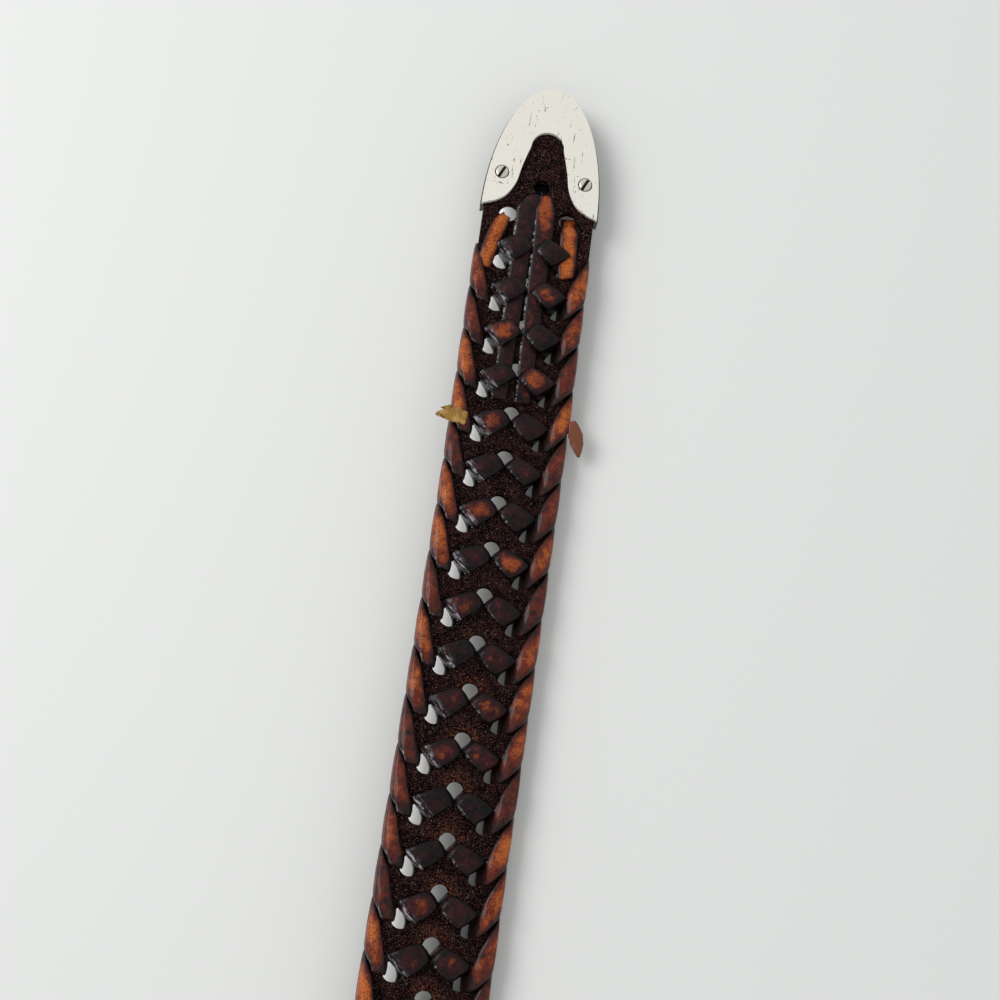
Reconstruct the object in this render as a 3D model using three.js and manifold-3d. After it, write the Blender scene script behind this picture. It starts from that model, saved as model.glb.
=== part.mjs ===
// A braided belt: a leather strap pierced in three rows of holes and laced with four leather thongs,
// with a clamped metal tip at one end and a plain buckle at the other. It lies face down, along Y.
//
// Everything is first laid out flat in belt coordinates (x, s, h): x runs across, s runs along the belt
// from the point of the tip, and h is the height over the side that lies down. lay() then puts a flat
// point where the belt lies: the tip lifts a little and, past the tip, the left edge curls up.
import * as THREE from 'three';
import Module from 'manifold-3d';
import { mergeVertices } from 'three/addons/utils/BufferGeometryUtils.js';

// Strap and thongs, in millimetres
const STRAP_WIDTH = 29.2;
const STRAP_THICK = 2.8;
const THONG_THICK = 1.2;
const SEAT_GAP = 0.3;

// Holes
const PITCH = 12.0;
const ROWS = 56;
const LACED_ROWS = 18;
const FIRST_WRAP_ROW = 2;
const ROW_START = 50.4;
const FIRST_EDGE_HOLES = 36.8;
const FIRST_CENTRE_HOLE = 28.3;
const CENTRE_LEAD = 6.5;
const EDGE_HOLE_X = 8.0;
const HOLE_WIDTH = 4.8;
const PLAIN_END = 100;

// Thongs, as they cross the back and squeeze through a hole
const WRAP_WIDTH = 5.4;
const WRAP_SPACE = 0.6;
const WRAP_RISE = 8.7;
const CHEVRON_WIDTH = 5.5;
const TAIL_WIDTH = 2.2;
const TAIL_X = 4.0;
const TAIL_ROWS = 4;
const TAIL_SPARE = 1.6;
const STRIP_WIDTH = 4.8;
const SQUEEZED_WIDTH = 2.0;
const STRAND_OFFSET = 0.95;
const STRAND_SHIFT = 0.4;

// Metal tip
const TIP_LENGTH = 36;
const RIM_WALL = 0.9;
const PLATE_THICK = 1.0;
const NOTCH_START = 13.2;
const NOTCH_RADIUS = 4.4;
const SCREW_X = 11.2;
const SCREW_S = 26.4;
const SCREW_HEAD = 3.8;
const SCREW_PROUD = 0.3;
const SCREW_SHANK = 2.0;
const SLOT_WIDTH = 0.7;
const SLOT_DEPTH = 0.5;
const SLOT_TURN = 25;

// Torn thong ends
const LEFT_END = { s: 97.0, length: 4.2, reach: 1.9 };
const RIGHT_END = { s: 95.6, length: 8.6, reach: 3.9 };

// Buckle
const BUCKLE_WIDTH = 42;
const BUCKLE_LENGTH = 27;
const BUCKLE_BAR = 4.5;
const BUCKLE_THICK = 3.4;
const BUCKLE_CORNER = 7;
const CLAMP_LENGTH = 16;
const CLAMP_WALL = 1.2;
const CLAMP_BACK = 3;
const PRONG_WIDTH = 4;

// How the belt lies
const TIP_LIFT = 4.0;
const LIFT_LENGTH = 170;
const TIP_SWEEP = 1.35;
const SWEEP_LENGTH = 130;
const EDGE_CURL = 6.0;
const CURL_FULL_FROM = 126;
const CURL_FULL_TO = 260;
const CURL_GONE_AT = 420;

// Sides of the round shapes
const EDGE_HOLE_SIDES = { laced: 8, plain: 6 };
const SCREW_SIDES = 12;
const TIP_STEPS = 8;
const NOTCH_STEPS = 6;
const CORNER_STEPS = 4;

// What follows from the sizes above
const HALF_STRAP = STRAP_WIDTH / 2;
const HALF_THONG = THONG_THICK / 2;
const STRAP_LOW = THONG_THICK + SEAT_GAP;
const STRAP_HIGH = STRAP_LOW + STRAP_THICK;
const FRONT_LEVEL = HALF_THONG;
const BACK_LEVEL = STRAP_HIGH + SEAT_GAP + HALF_THONG;
const RAISED_LEVEL = BACK_LEVEL + THONG_THICK + SEAT_GAP;
const EDGE_X = HALF_STRAP + SEAT_GAP + HALF_THONG;
const WRAP_FACE = EDGE_X + HALF_THONG;
const HALF_WRAP = (PITCH - WRAP_SPACE) / 2;
const HALF_SQUEEZED = SQUEEZED_WIDTH / 2;
const TILE_LEAD = 0.75 * PITCH;
const TIP_HALF = HALF_STRAP + SEAT_GAP + RIM_WALL;
const STRAP_END = ROW_START + (ROWS - 1) * PITCH + PITCH - TILE_LEAD + PLAIN_END;
const BELT_LENGTH = STRAP_END + SEAT_GAP + BUCKLE_LENGTH;
const TIP_Y = BELT_LENGTH / 2;

// Inner edge of the plate's legs: shares of the tip's length and of its half width
const LEG_EDGE = [
  { along: 0.661, out: 0.392 },
  { along: 0.778, out: 0.430 },
  { along: 0.850, out: 0.500 },
  { along: 0.919, out: 0.601 },
  { along: 0.969, out: 0.772 },
];

const wasm = await Module();
wasm.setup();

const row = (i) => ROW_START + (i - 1) * PITCH;
const edgeHole = (i) => (i === 0 ? FIRST_EDGE_HOLES : row(i));
const centreHole = (i) => (i === 0 ? FIRST_CENTRE_HOLE : row(i) - CENTRE_LEAD);
const tileStart = (i) => row(i) - TILE_LEAD;
const vec = (x, s, h) => new THREE.Vector3(x, s, h);
const flat = (x, s) => new THREE.Vector2(x, s);

// Bends fade out as a parabola, and run straight along the stiff metal tip.
function fade(s, length) {
  const bend = (at) => Math.max(0, 1 - at / length) ** 2;
  if (s >= TIP_LENGTH) return bend(s);
  const slope = (2 / length) * (1 - TIP_LENGTH / length);
  return bend(TIP_LENGTH) + slope * (TIP_LENGTH - s);
}

// A flat point where the belt lies: the curl turns it about the right-hand lower edge.
function lay({ x, y: s, z: h }) {
  const { smoothstep } = THREE.MathUtils;
  const gone = smoothstep(s, CURL_FULL_TO, CURL_GONE_AT);
  const left = smoothstep(s, TIP_LENGTH, CURL_FULL_FROM) * (1 - gone);
  const turn = THREE.MathUtils.degToRad(EDGE_CURL) * left;
  const arm = WRAP_FACE - x;
  const across = WRAP_FACE - arm * Math.cos(turn) + h * Math.sin(turn);
  const up = arm * Math.sin(turn) + h * Math.cos(turn);
  const lift = TIP_LIFT * fade(s, LIFT_LENGTH);
  const sweep = TIP_SWEEP * fade(s, SWEEP_LENGTH);
  return vec(across - sweep, TIP_Y - s, up + lift);
}

function signedVolume(points, faces) {
  const normal = new THREE.Vector3();
  let sum = 0;
  for (const [a, b, c] of faces) {
    normal.crossVectors(points[b], points[c]);
    sum += points[a].dot(normal) / 6;
  }
  return sum;
}

// A closed body from flat points, laid where the belt lies, with its faces turned outwards.
function laidGeometry({ points, faces }) {
  const laid = points.map(lay);
  const inward = signedVolume(laid, faces) < 0;
  const turned = faces.map(([a, b, c]) => (inward ? [c, b, a] : [a, b, c]));
  const geometry = new THREE.BufferGeometry().setFromPoints(laid);
  geometry.setIndex(turned.flat());
  return geometry;
}

// A flat sheet between two heights. Its outline turns left and its holes turn right, and the edges
// that lie on a joint line get no wall, because the next sheet goes on there.
function addSheet(body, { outline, holes = [], low, high, joints = [] }) {
  const loops = [outline, ...holes];
  const ring = loops.flat();
  const base = body.points.length;
  for (const h of [low, high]) {
    body.points.push(...ring.map((p) => vec(p.x, p.y, h)));
  }
  for (const [a, b, c] of THREE.ShapeUtils.triangulateShape(outline, holes)) {
    body.faces.push([base + ring.length + a, base + ring.length + b, base + ring.length + c]);
    body.faces.push([base + c, base + b, base + a]);
  }
  let first = base;
  for (const loop of loops) {
    loop.forEach((p, j) => {
      const k = (j + 1) % loop.length;
      if (joints.some((s) => p.y === s && loop[k].y === s)) return;
      const [lowA, lowB] = [first + j, first + k];
      const [highA, highB] = [lowA + ring.length, lowB + ring.length];
      body.faces.push([lowA, lowB, highB], [lowA, highB, highA]);
    });
    first += loop.length;
  }
  return body;
}

const sheet = (parts) => addSheet({ points: [], faces: [] }, parts);

// A regular hole, clockwise, given its width across the flats.
function holeLoop(x, s, width, sides) {
  const radius = width / 2 / Math.cos(Math.PI / sides);
  return Array.from({ length: sides }, (_, n) => {
    const angle = (-2 * Math.PI * (n + 0.5)) / sides;
    return flat(x + radius * Math.cos(angle), s + radius * Math.sin(angle));
  });
}

// The rounded nose of the tip, from its left end over the point to its right end.
function noseArc(halfWidth, length) {
  return Array.from({ length: 2 * TIP_STEPS + 1 }, (_, n) => {
    const angle = (Math.PI * n) / (2 * TIP_STEPS);
    return flat(-halfWidth * Math.cos(angle), TIP_LENGTH - length * Math.sin(angle));
  });
}

function baseStrap() {
  const body = { points: [], faces: [] };
  const levels = { low: STRAP_LOW, high: STRAP_HIGH };
  const tipEnd = tileStart(1);
  addSheet(body, {
    ...levels,
    outline: [
      ...noseArc(HALF_STRAP, TIP_LENGTH - RIM_WALL - SEAT_GAP),
      flat(HALF_STRAP, tipEnd),
      flat(-HALF_STRAP, tipEnd),
    ],
    holes: [
      holeLoop(-EDGE_HOLE_X, FIRST_EDGE_HOLES, HOLE_WIDTH, EDGE_HOLE_SIDES.laced),
      holeLoop(EDGE_HOLE_X, FIRST_EDGE_HOLES, HOLE_WIDTH, EDGE_HOLE_SIDES.laced),
      holeLoop(0, FIRST_CENTRE_HOLE, HOLE_WIDTH, EDGE_HOLE_SIDES.laced),
      holeLoop(-SCREW_X, SCREW_S, SCREW_SHANK + 2 * SEAT_GAP, EDGE_HOLE_SIDES.plain),
      holeLoop(SCREW_X, SCREW_S, SCREW_SHANK + 2 * SEAT_GAP, EDGE_HOLE_SIDES.plain),
    ],
    joints: [tipEnd],
  });
  for (let i = 1; i <= ROWS; i += 1) {
    const [start, end] = [tileStart(i), tileStart(i + 1)];
    const laced = i <= LACED_ROWS;
    const sides = laced ? EDGE_HOLE_SIDES.laced : EDGE_HOLE_SIDES.plain;
    const holes = [
      holeLoop(-EDGE_HOLE_X, edgeHole(i), HOLE_WIDTH, sides),
      holeLoop(EDGE_HOLE_X, edgeHole(i), HOLE_WIDTH, sides),
    ];
    if (laced) holes.push(holeLoop(0, centreHole(i), HOLE_WIDTH, sides));
    addSheet(body, { ...levels, outline: band(start, end), holes, joints: [start, end] });
  }
  const plain = tileStart(ROWS + 1);
  return addSheet(body, { ...levels, outline: band(plain, STRAP_END), joints: [plain] });
}

function band(start, end) {
  return [
    flat(-HALF_STRAP, start),
    flat(HALF_STRAP, start),
    flat(HALF_STRAP, end),
    flat(-HALF_STRAP, end),
  ];
}

// A thong as a chain of stations. A station holds its middle, half its width and half its thickness
// as flat vectors, with x counted outwards from the belt's middle; side is -1 on the left.
function thong(stations, side) {
  const body = { points: [], faces: [] };
  const corners = [[1, 1], [-1, 1], [-1, -1], [1, -1]];
  for (const { middle, across, out } of stations) {
    for (const [a, b] of corners) {
      const corner = middle.clone().addScaledVector(across, a).addScaledVector(out, b);
      body.points.push(vec(side * corner.x, corner.y, corner.z));
    }
  }
  const last = 4 * (stations.length - 1);
  body.faces.push([0, 1, 2], [0, 2, 3], [last, last + 2, last + 1], [last, last + 3, last + 2]);
  for (let base = 0; base < last; base += 4) {
    for (let j = 0; j < 4; j += 1) {
      const [a, b] = [base + j, base + ((j + 1) % 4)];
      body.faces.push([a, a + 4, b + 4], [a, b + 4, b]);
    }
  }
  return body;
}

const along = (half) => vec(0, half, 0);
const flatOut = (sign) => vec(0, 0, sign * HALF_THONG);
const mitre = (outward, upward) => vec(outward * HALF_THONG, 0, upward * HALF_THONG);
const endMitre = (upward) => vec(0, -HALF_THONG, upward * HALF_THONG);

// The station on the way from one point to another, with its width square to the way.
function crossing(from, to, share, width, sign) {
  const way = to.clone().sub(from);
  const across = vec(-Math.abs(way.y), way.x * Math.sign(way.y), 0).normalize();
  if (across.y < 0) across.negate();
  return {
    middle: from.clone().lerp(to, share),
    across: across.multiplyScalar(width / 2),
    out: flatOut(sign),
  };
}

// The winding round one edge, from the last row towards the tip, with its end laid flat.
function edgeLace(side) {
  const stations = [];
  const strand = EDGE_HOLE_X + STRAND_OFFSET;
  const clear = TIP_LENGTH + SEAT_GAP;
  for (let i = ROWS; i >= FIRST_WRAP_ROW; i -= 1) {
    const s = edgeHole(i) - STRAND_SHIFT;
    const back = vec(strand, s, BACK_LEVEL);
    const edgeS = s - WRAP_RISE;
    const downS = edgeS - HALF_THONG - STRAP_THICK;
    const start = Math.max(downS - HALF_WRAP, clear);
    const end = downS + HALF_WRAP;
    stations.push(
      { middle: vec(strand, s, FRONT_LEVEL), across: along(HALF_SQUEEZED), out: mitre(-1, -1) },
      { middle: back, across: along(HALF_SQUEEZED), out: mitre(-1, 1) },
      crossing(back, vec(EDGE_X, edgeS, BACK_LEVEL), 0.35, WRAP_WIDTH, 1),
      { middle: vec(EDGE_X, edgeS, BACK_LEVEL), across: along(HALF_WRAP), out: mitre(1, 1) },
      {
        middle: vec(EDGE_X, (start + end) / 2, FRONT_LEVEL),
        across: along((end - start) / 2),
        out: mitre(1, -1),
      },
    );
  }
  return thong([...stations, ...laidStrip(strand)], side);
}

// The end of an edge lace: up through the first hole, then flat along the back to a skewed cut.
function laidStrip(strand) {
  const middle = (strand + EDGE_HOLE_X) / 2;
  const hole = FIRST_EDGE_HOLES - STRAND_SHIFT;
  const inner = EDGE_HOLE_X;
  const halfStrip = STRIP_WIDTH / 2;
  const across = (half, skew) => vec(-half, skew, 0);
  const skew = halfStrip;
  const cutS = edgeHole(FIRST_WRAP_ROW) - WRAP_RISE - SEAT_GAP - skew + HALF_THONG - SEAT_GAP;
  return [
    { middle: vec(middle, hole, FRONT_LEVEL), across: along(HALF_SQUEEZED), out: mitre(-1, -1) },
    { middle: vec(middle, hole, BACK_LEVEL), across: across(HALF_SQUEEZED, 0), out: endMitre(1) },
    {
      middle: vec(inner + halfStrip, hole + HOLE_WIDTH / 2, BACK_LEVEL),
      across: across(halfStrip, 0),
      out: flatOut(1),
    },
    {
      middle: vec(inner + halfStrip, cutS, BACK_LEVEL),
      across: across(halfStrip, skew),
      out: flatOut(1),
    },
  ];
}

// One centre lace: its loose start on the back, down through the first centre hole, then a zigzag of
// chevrons on the back and slanting runs on the front.
function centreLace(side) {
  const outer = EDGE_HOLE_X - STRAND_OFFSET;
  const stations = looseStart();
  for (let i = 1; i <= LACED_ROWS; i += 1) {
    const level = i <= TAIL_ROWS ? RAISED_LEVEL : BACK_LEVEL;
    const centreS = centreHole(i) + STRAND_SHIFT;
    const edgeS = edgeHole(i) - STRAND_SHIFT;
    const from = vec(STRAND_OFFSET, centreS, level);
    const to = vec(outer, edgeS, level);
    stations.push(
      {
        middle: vec(STRAND_OFFSET, centreS, FRONT_LEVEL),
        across: along(HALF_SQUEEZED),
        out: mitre(-1, -1),
      },
      { middle: from, across: along(HALF_SQUEEZED), out: mitre(-1, 1) },
      crossing(from, to, 0.5, CHEVRON_WIDTH, 1),
      { middle: to, across: along(HALF_SQUEEZED), out: mitre(1, 1) },
      { middle: vec(outer, edgeS, FRONT_LEVEL), across: along(HALF_SQUEEZED), out: mitre(1, -1) },
    );
  }
  return thong(stations, side);
}

function looseStart() {
  const across = (half) => vec(half, 0, 0);
  const halfTail = TAIL_WIDTH / 2;
  const hole = FIRST_CENTRE_HOLE;
  const strand = STRAND_OFFSET + SEAT_GAP / 2;
  const squeezed = strand - SEAT_GAP / 2 - SEAT_GAP / 4;
  const tailEnd = row(TAIL_ROWS) + TAIL_SPARE;
  const frontTurn = hole + CENTRE_LEAD + HOLE_WIDTH / 2;
  return [
    { middle: vec(TAIL_X, tailEnd, BACK_LEVEL), across: across(halfTail), out: flatOut(1) },
    { middle: vec(TAIL_X, hole + PITCH, BACK_LEVEL), across: across(halfTail), out: flatOut(1) },
    { middle: vec(strand, hole, BACK_LEVEL), across: across(squeezed), out: endMitre(1) },
    { middle: vec(strand, hole, FRONT_LEVEL), across: across(squeezed), out: endMitre(-1) },
    { middle: vec(TAIL_X, frontTurn, FRONT_LEVEL), across: across(halfTail), out: flatOut(-1) },
  ];
}

// The U-shaped outline that both halves of the tip share.
function tipOutline() {
  const notch = NOTCH_START + NOTCH_RADIUS;
  const legs = LEG_EDGE.map(({ along: share, out }) => flat(out * TIP_HALF, share * TIP_LENGTH));
  const arc = Array.from({ length: NOTCH_STEPS + 1 }, (_, n) => {
    const angle = (Math.PI * n) / NOTCH_STEPS;
    return flat(NOTCH_RADIUS * Math.cos(angle), notch - NOTCH_RADIUS * Math.sin(angle));
  });
  const left = legs.map((p) => flat(-p.x, p.y));
  return [...noseArc(TIP_HALF, TIP_LENGTH), ...legs.reverse(), ...arc, ...left];
}

function tipBackPlate() {
  const low = STRAP_HIGH + SEAT_GAP;
  const width = SCREW_HEAD + 2 * SEAT_GAP;
  const holes = [-SCREW_X, SCREW_X].map((x) => holeLoop(x, SCREW_S, width, SCREW_SIDES));
  return sheet({ outline: tipOutline(), holes, low, high: low + PLATE_THICK });
}

function tipFrontShell() {
  const low = STRAP_LOW - SEAT_GAP - PLATE_THICK;
  const outer = noseArc(TIP_HALF, TIP_LENGTH);
  const inner = noseArc(TIP_HALF - RIM_WALL, TIP_LENGTH - RIM_WALL).reverse();
  const floor = solid(sheet({ outline: tipOutline(), low, high: low + PLATE_THICK }));
  const rim = solid(sheet({ outline: [...outer, ...inner], low, high: STRAP_HIGH }));
  return fromSolid(floor.add(rim));
}

function tipScrew(side) {
  const low = STRAP_LOW;
  const headLow = STRAP_HIGH + SEAT_GAP;
  const headHigh = headLow + PLATE_THICK + SCREW_PROUD;
  const x = side * SCREW_X;
  const disc = (width, sides, bottom, top) => {
    const outline = holeLoop(x, SCREW_S, width, sides).reverse();
    return solid(sheet({ outline, low: bottom, high: top }));
  };
  const turn = THREE.MathUtils.degToRad(SLOT_TURN);
  const slotEnds = [[-1, -1], [1, -1], [1, 1], [-1, 1]];
  const slot = slotEnds.map(([a, b]) => {
    const corner = flat((a * SLOT_WIDTH) / 2, b * SCREW_HEAD).rotateAround(flat(0, 0), turn);
    return corner.add(flat(x, SCREW_S));
  });
  const cut = solid(sheet({ outline: slot, low: headHigh - SLOT_DEPTH, high: headHigh + SLOT_DEPTH }));
  const head = disc(SCREW_HEAD, SCREW_SIDES, headLow, headHigh).subtract(cut);
  return fromSolid(head.add(disc(SCREW_SHANK, EDGE_HOLE_SIDES.plain, low, headLow + SLOT_DEPTH)));
}

// A torn end of thong that lies against the outer face of a wrap.
function laceEnd({ s, length, reach }, side) {
  const from = WRAP_FACE + SEAT_GAP;
  const low = STRAP_LOW;
  const table = [
    { along: -0.5, out: 0 },
    { along: -0.3, out: 0.7 },
    { along: 0.1, out: 1 },
    { along: 0.5, out: 0.8 },
    { along: 0.3, out: 0.2 },
    { along: 0.2, out: 0 },
  ];
  const outline = table.map((p) => flat(side * (from + p.out * reach), s + p.along * length));
  if (THREE.ShapeUtils.isClockWise(outline)) outline.reverse();
  return sheet({ outline, low, high: low + THONG_THICK });
}

// A flat solid for joining and cutting, and back.
function solid({ points, faces }) {
  const geometry = new THREE.BufferGeometry().setFromPoints(points);
  geometry.setIndex(faces.flat());
  const merged = mergeVertices(geometry);
  const vertProperties = new Float32Array(merged.attributes.position.array);
  const triVerts = new Uint32Array(merged.index.array);
  return new wasm.Manifold(new wasm.Mesh({ numProp: 3, vertProperties, triVerts }));
}

function fromSolid(body) {
  const { vertProperties, triVerts } = body.getMesh();
  const points = [];
  for (let n = 0; n < vertProperties.length; n += 3) {
    points.push(vec(vertProperties[n], vertProperties[n + 1], vertProperties[n + 2]));
  }
  const faces = [];
  for (let n = 0; n < triVerts.length; n += 3) faces.push([...triVerts.slice(n, n + 3)]);
  return { points, faces };
}

// A rounded rectangle that turns left.
function roundedBox(halfWidth, start, end, corner) {
  const centres = [
    { x: halfWidth - corner, s: end - corner, from: 0 },
    { x: corner - halfWidth, s: end - corner, from: 1 },
    { x: corner - halfWidth, s: start + corner, from: 2 },
    { x: halfWidth - corner, s: start + corner, from: 3 },
  ];
  return centres.flatMap(({ x, s, from }) =>
    Array.from({ length: CORNER_STEPS + 1 }, (_, n) => {
      const angle = (Math.PI / 2) * (from + n / CORNER_STEPS);
      return flat(x + corner * Math.cos(angle), s + corner * Math.sin(angle));
    }),
  );
}

// The buckle: a frame and its prong, in one piece with the clamp that holds the strap's end.
function buckle() {
  const frameStart = STRAP_END + SEAT_GAP;
  const clampEnd = frameStart + CLAMP_BACK;
  const clampHalf = HALF_STRAP + SEAT_GAP + CLAMP_WALL;
  const clampHigh = STRAP_HIGH + SEAT_GAP + CLAMP_WALL;
  const clampStart = STRAP_END - CLAMP_LENGTH;
  const frameEnd = frameStart + BUCKLE_LENGTH;
  const half = BUCKLE_WIDTH / 2;
  const box = (halfWidth, start, end, low, high) => {
    const outline = [
      flat(-halfWidth, start), flat(halfWidth, start), flat(halfWidth, end), flat(-halfWidth, end),
    ];
    return solid(sheet({ outline, low, high }));
  };
  const pocketStart = clampStart - CLAMP_BACK;
  const pocketHalf = HALF_STRAP + SEAT_GAP;
  const pocket = box(pocketHalf, pocketStart, frameStart, STRAP_LOW - SEAT_GAP, STRAP_HIGH + SEAT_GAP);
  const clamp = box(clampHalf, clampStart, clampEnd, 0, clampHigh).subtract(pocket);
  const inside = roundedBox(
    half - BUCKLE_BAR,
    frameStart + BUCKLE_BAR,
    frameEnd - BUCKLE_BAR,
    BUCKLE_CORNER - BUCKLE_BAR,
  ).reverse();
  const outline = roundedBox(half, frameStart, frameEnd, BUCKLE_CORNER);
  const frame = solid(sheet({ outline, holes: [inside], low: 0, high: BUCKLE_THICK }));
  const prongStart = frameStart + BUCKLE_BAR / 2;
  const prongEnd = frameEnd - BUCKLE_BAR / 2;
  const prong = box(PRONG_WIDTH / 2, prongStart, prongEnd, BUCKLE_THICK / 2, clampHigh);
  return fromSolid(frame.add(clamp).add(prong));
}

const strapLeather = { color: 0x2e1a14, roughness: 0.85, metalness: 0 };
const edgeLeather = { color: 0x9a4a1c, roughness: 0.4, metalness: 0 };
const centreLeather = { color: 0x4a1f18, roughness: 0.45, metalness: 0 };
const tipMetal = { color: 0xd8d4c6, roughness: 0.35, metalness: 1 };
const screwMetal = { color: 0xc9c4b4, roughness: 0.4, metalness: 1 };

const pieces = [
  { name: 'base_strap', body: baseStrap(), finish: strapLeather },
  { name: 'left_edge_lace', body: edgeLace(-1), finish: edgeLeather },
  { name: 'right_edge_lace', body: edgeLace(1), finish: edgeLeather },
  { name: 'left_centre_lace', body: centreLace(-1), finish: centreLeather },
  { name: 'right_centre_lace', body: centreLace(1), finish: centreLeather },
  { name: 'tip_front_shell', body: tipFrontShell(), finish: tipMetal },
  { name: 'tip_back_plate', body: tipBackPlate(), finish: tipMetal },
  { name: 'tip_screw_left', body: tipScrew(-1), finish: screwMetal },
  { name: 'tip_screw_right', body: tipScrew(1), finish: screwMetal },
  { name: 'lace_end_left', body: laceEnd(LEFT_END, -1), finish: edgeLeather },
  { name: 'lace_end_right', body: laceEnd(RIGHT_END, 1), finish: edgeLeather },
  { name: 'buckle', body: buckle(), finish: tipMetal },
];

const belt = new THREE.Group();
for (const { name, body, finish } of pieces) {
  const piece = new THREE.Mesh(laidGeometry(body), new THREE.MeshStandardMaterial(finish));
  piece.name = name;
  belt.add(piece);
}

export default belt;
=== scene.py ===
# %% [markdown]
# A braided belt, back side up. A leather strap is pierced in three rows of holes, and four long thongs
# are laced through them: two wind round the edges and two zigzag down the middle as chevrons. The free
# end has a metal tip held by two slotted screws. The imported model gives the place and size of every
# piece, so the frame is loaded first and its box is kept.

# %% Load the frame
import math
from collections import namedtuple

import bpy
import numpy as np
from mathutils import Matrix, Vector
from mathutils.geometry import tessellate_polygon


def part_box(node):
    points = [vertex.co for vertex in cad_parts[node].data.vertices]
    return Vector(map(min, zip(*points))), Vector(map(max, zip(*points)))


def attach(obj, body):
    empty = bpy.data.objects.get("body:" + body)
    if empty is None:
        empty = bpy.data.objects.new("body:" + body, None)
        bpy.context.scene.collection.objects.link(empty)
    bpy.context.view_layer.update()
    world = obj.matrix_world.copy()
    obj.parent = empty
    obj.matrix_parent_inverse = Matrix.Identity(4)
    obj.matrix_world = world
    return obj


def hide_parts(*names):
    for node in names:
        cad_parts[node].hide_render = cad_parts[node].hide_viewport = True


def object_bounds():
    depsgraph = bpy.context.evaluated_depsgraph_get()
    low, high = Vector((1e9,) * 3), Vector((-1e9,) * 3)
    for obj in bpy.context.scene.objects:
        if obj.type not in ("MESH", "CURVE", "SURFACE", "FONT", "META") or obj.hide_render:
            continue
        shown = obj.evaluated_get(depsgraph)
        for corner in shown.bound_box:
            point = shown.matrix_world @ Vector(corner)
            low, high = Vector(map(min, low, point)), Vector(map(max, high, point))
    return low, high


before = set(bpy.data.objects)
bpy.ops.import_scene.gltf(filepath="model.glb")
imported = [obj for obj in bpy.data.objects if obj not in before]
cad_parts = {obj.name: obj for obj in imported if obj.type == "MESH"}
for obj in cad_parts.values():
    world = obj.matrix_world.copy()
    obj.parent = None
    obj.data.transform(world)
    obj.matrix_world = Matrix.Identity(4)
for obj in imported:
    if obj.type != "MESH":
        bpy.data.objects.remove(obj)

cad_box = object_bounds()
print("CAD box in metres:", [tuple(round(v, 4) for v in corner) for corner in cad_box])

# %% [markdown]
# The belt is laid out flat first, in millimetres: x across, s along from the point of the tip, and h
# up from the side that lies down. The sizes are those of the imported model. Only the length comes from
# the frame's box, so that everything stays tied to it.

# %% Sizes in millimetres
MM = 0.001
STRAP_WIDTH = 29.2
STRAP_THICK = 2.8
THONG_THICK = 1.2
SEAT_GAP = 0.3
PITCH = 12.0
ROWS = 56
ROW_START = 50.4
FIRST_EDGE_HOLES = 36.8
FIRST_CENTRE_HOLE = 28.3
EDGE_HOLE_X = 8.0
EDGE_HOLE_RADIUS = 2.5
CENTRE_HOLE_RADIUS = 2.2
CENTRE_LEAD = 6.6
TIP_LENGTH = 36.0
RIM_WALL = 0.9
PLATE_THICK = 1.0
TAIL_ROWS = 4

HALF_STRAP = STRAP_WIDTH / 2
STRAP_LOW = THONG_THICK + SEAT_GAP
STRAP_HIGH = STRAP_LOW + STRAP_THICK
FRONT_LEVEL = THONG_THICK / 2
BACK_LEVEL = STRAP_HIGH + SEAT_GAP / 2 + THONG_THICK / 2
WRAP_FACE = HALF_STRAP + SEAT_GAP + THONG_THICK
TIP_HALF = HALF_STRAP + SEAT_GAP + RIM_WALL
TIP_Y = cad_box[1].y / MM
STRAP_END = TIP_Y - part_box("base_strap")[0].y / MM
rng = np.random.default_rng(7)
row_s = ROW_START + PITCH * np.arange(ROWS)
print("belt length", round(2 * TIP_Y, 1), "mm, strap end at", round(STRAP_END, 1), "mm")

# %% [markdown]
# The real belt doesn't lie dead flat: the tip lifts, it swings a little to the left, and the left edge
# is turned up. Each piece could be bent by hand or by a lattice. Here one function carries every flat
# point to where the belt lies, so all pieces bend together and keep their seats.

# %% Lay flat points where the belt lies
TIP_LIFT = 4.0
LIFT_LENGTH = 170.0
TIP_SWEEP = 1.35
SWEEP_LENGTH = 130.0
EDGE_CURL = math.radians(6.0)
CURL_FULL_FROM = 126.0
CURL_FULL_TO = 260.0
CURL_GONE_AT = 420.0


def fade(s, length):
    """1 at the tip falling as a parabola to 0 at `length`, and straight along the stiff metal tip."""
    def bend(at):
        return np.clip(1 - at / length, 0, None) ** 2
    slope = 2 / length * (1 - TIP_LENGTH / length)
    return np.where(s >= TIP_LENGTH, bend(s), bend(TIP_LENGTH) + slope * (TIP_LENGTH - s))


def ease(s, start, end):
    """0 before start and 1 after end, with a soft step between."""
    t = np.clip((s - start) / (end - start), 0, 1)
    return t * t * (3 - 2 * t)


def lay(points):
    """Flat (x, s, h) in mm to the frame in metres: turn about the right-hand lower edge, lift, sweep."""
    x, s, h = np.moveaxis(np.asarray(points, float), -1, 0)
    turn = EDGE_CURL * ease(s, TIP_LENGTH, CURL_FULL_FROM) * (1 - ease(s, CURL_FULL_TO, CURL_GONE_AT))
    arm = WRAP_FACE - x
    across = WRAP_FACE - arm * np.cos(turn) + h * np.sin(turn) - TIP_SWEEP * fade(s, SWEEP_LENGTH)
    up = arm * np.sin(turn) + h * np.cos(turn) + TIP_LIFT * fade(s, LIFT_LENGTH)
    return np.stack([across, TIP_Y - s, up], axis=-1) * MM


print("tip point lies at", lay((0, 0, BACK_LEVEL)).round(4))

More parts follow.
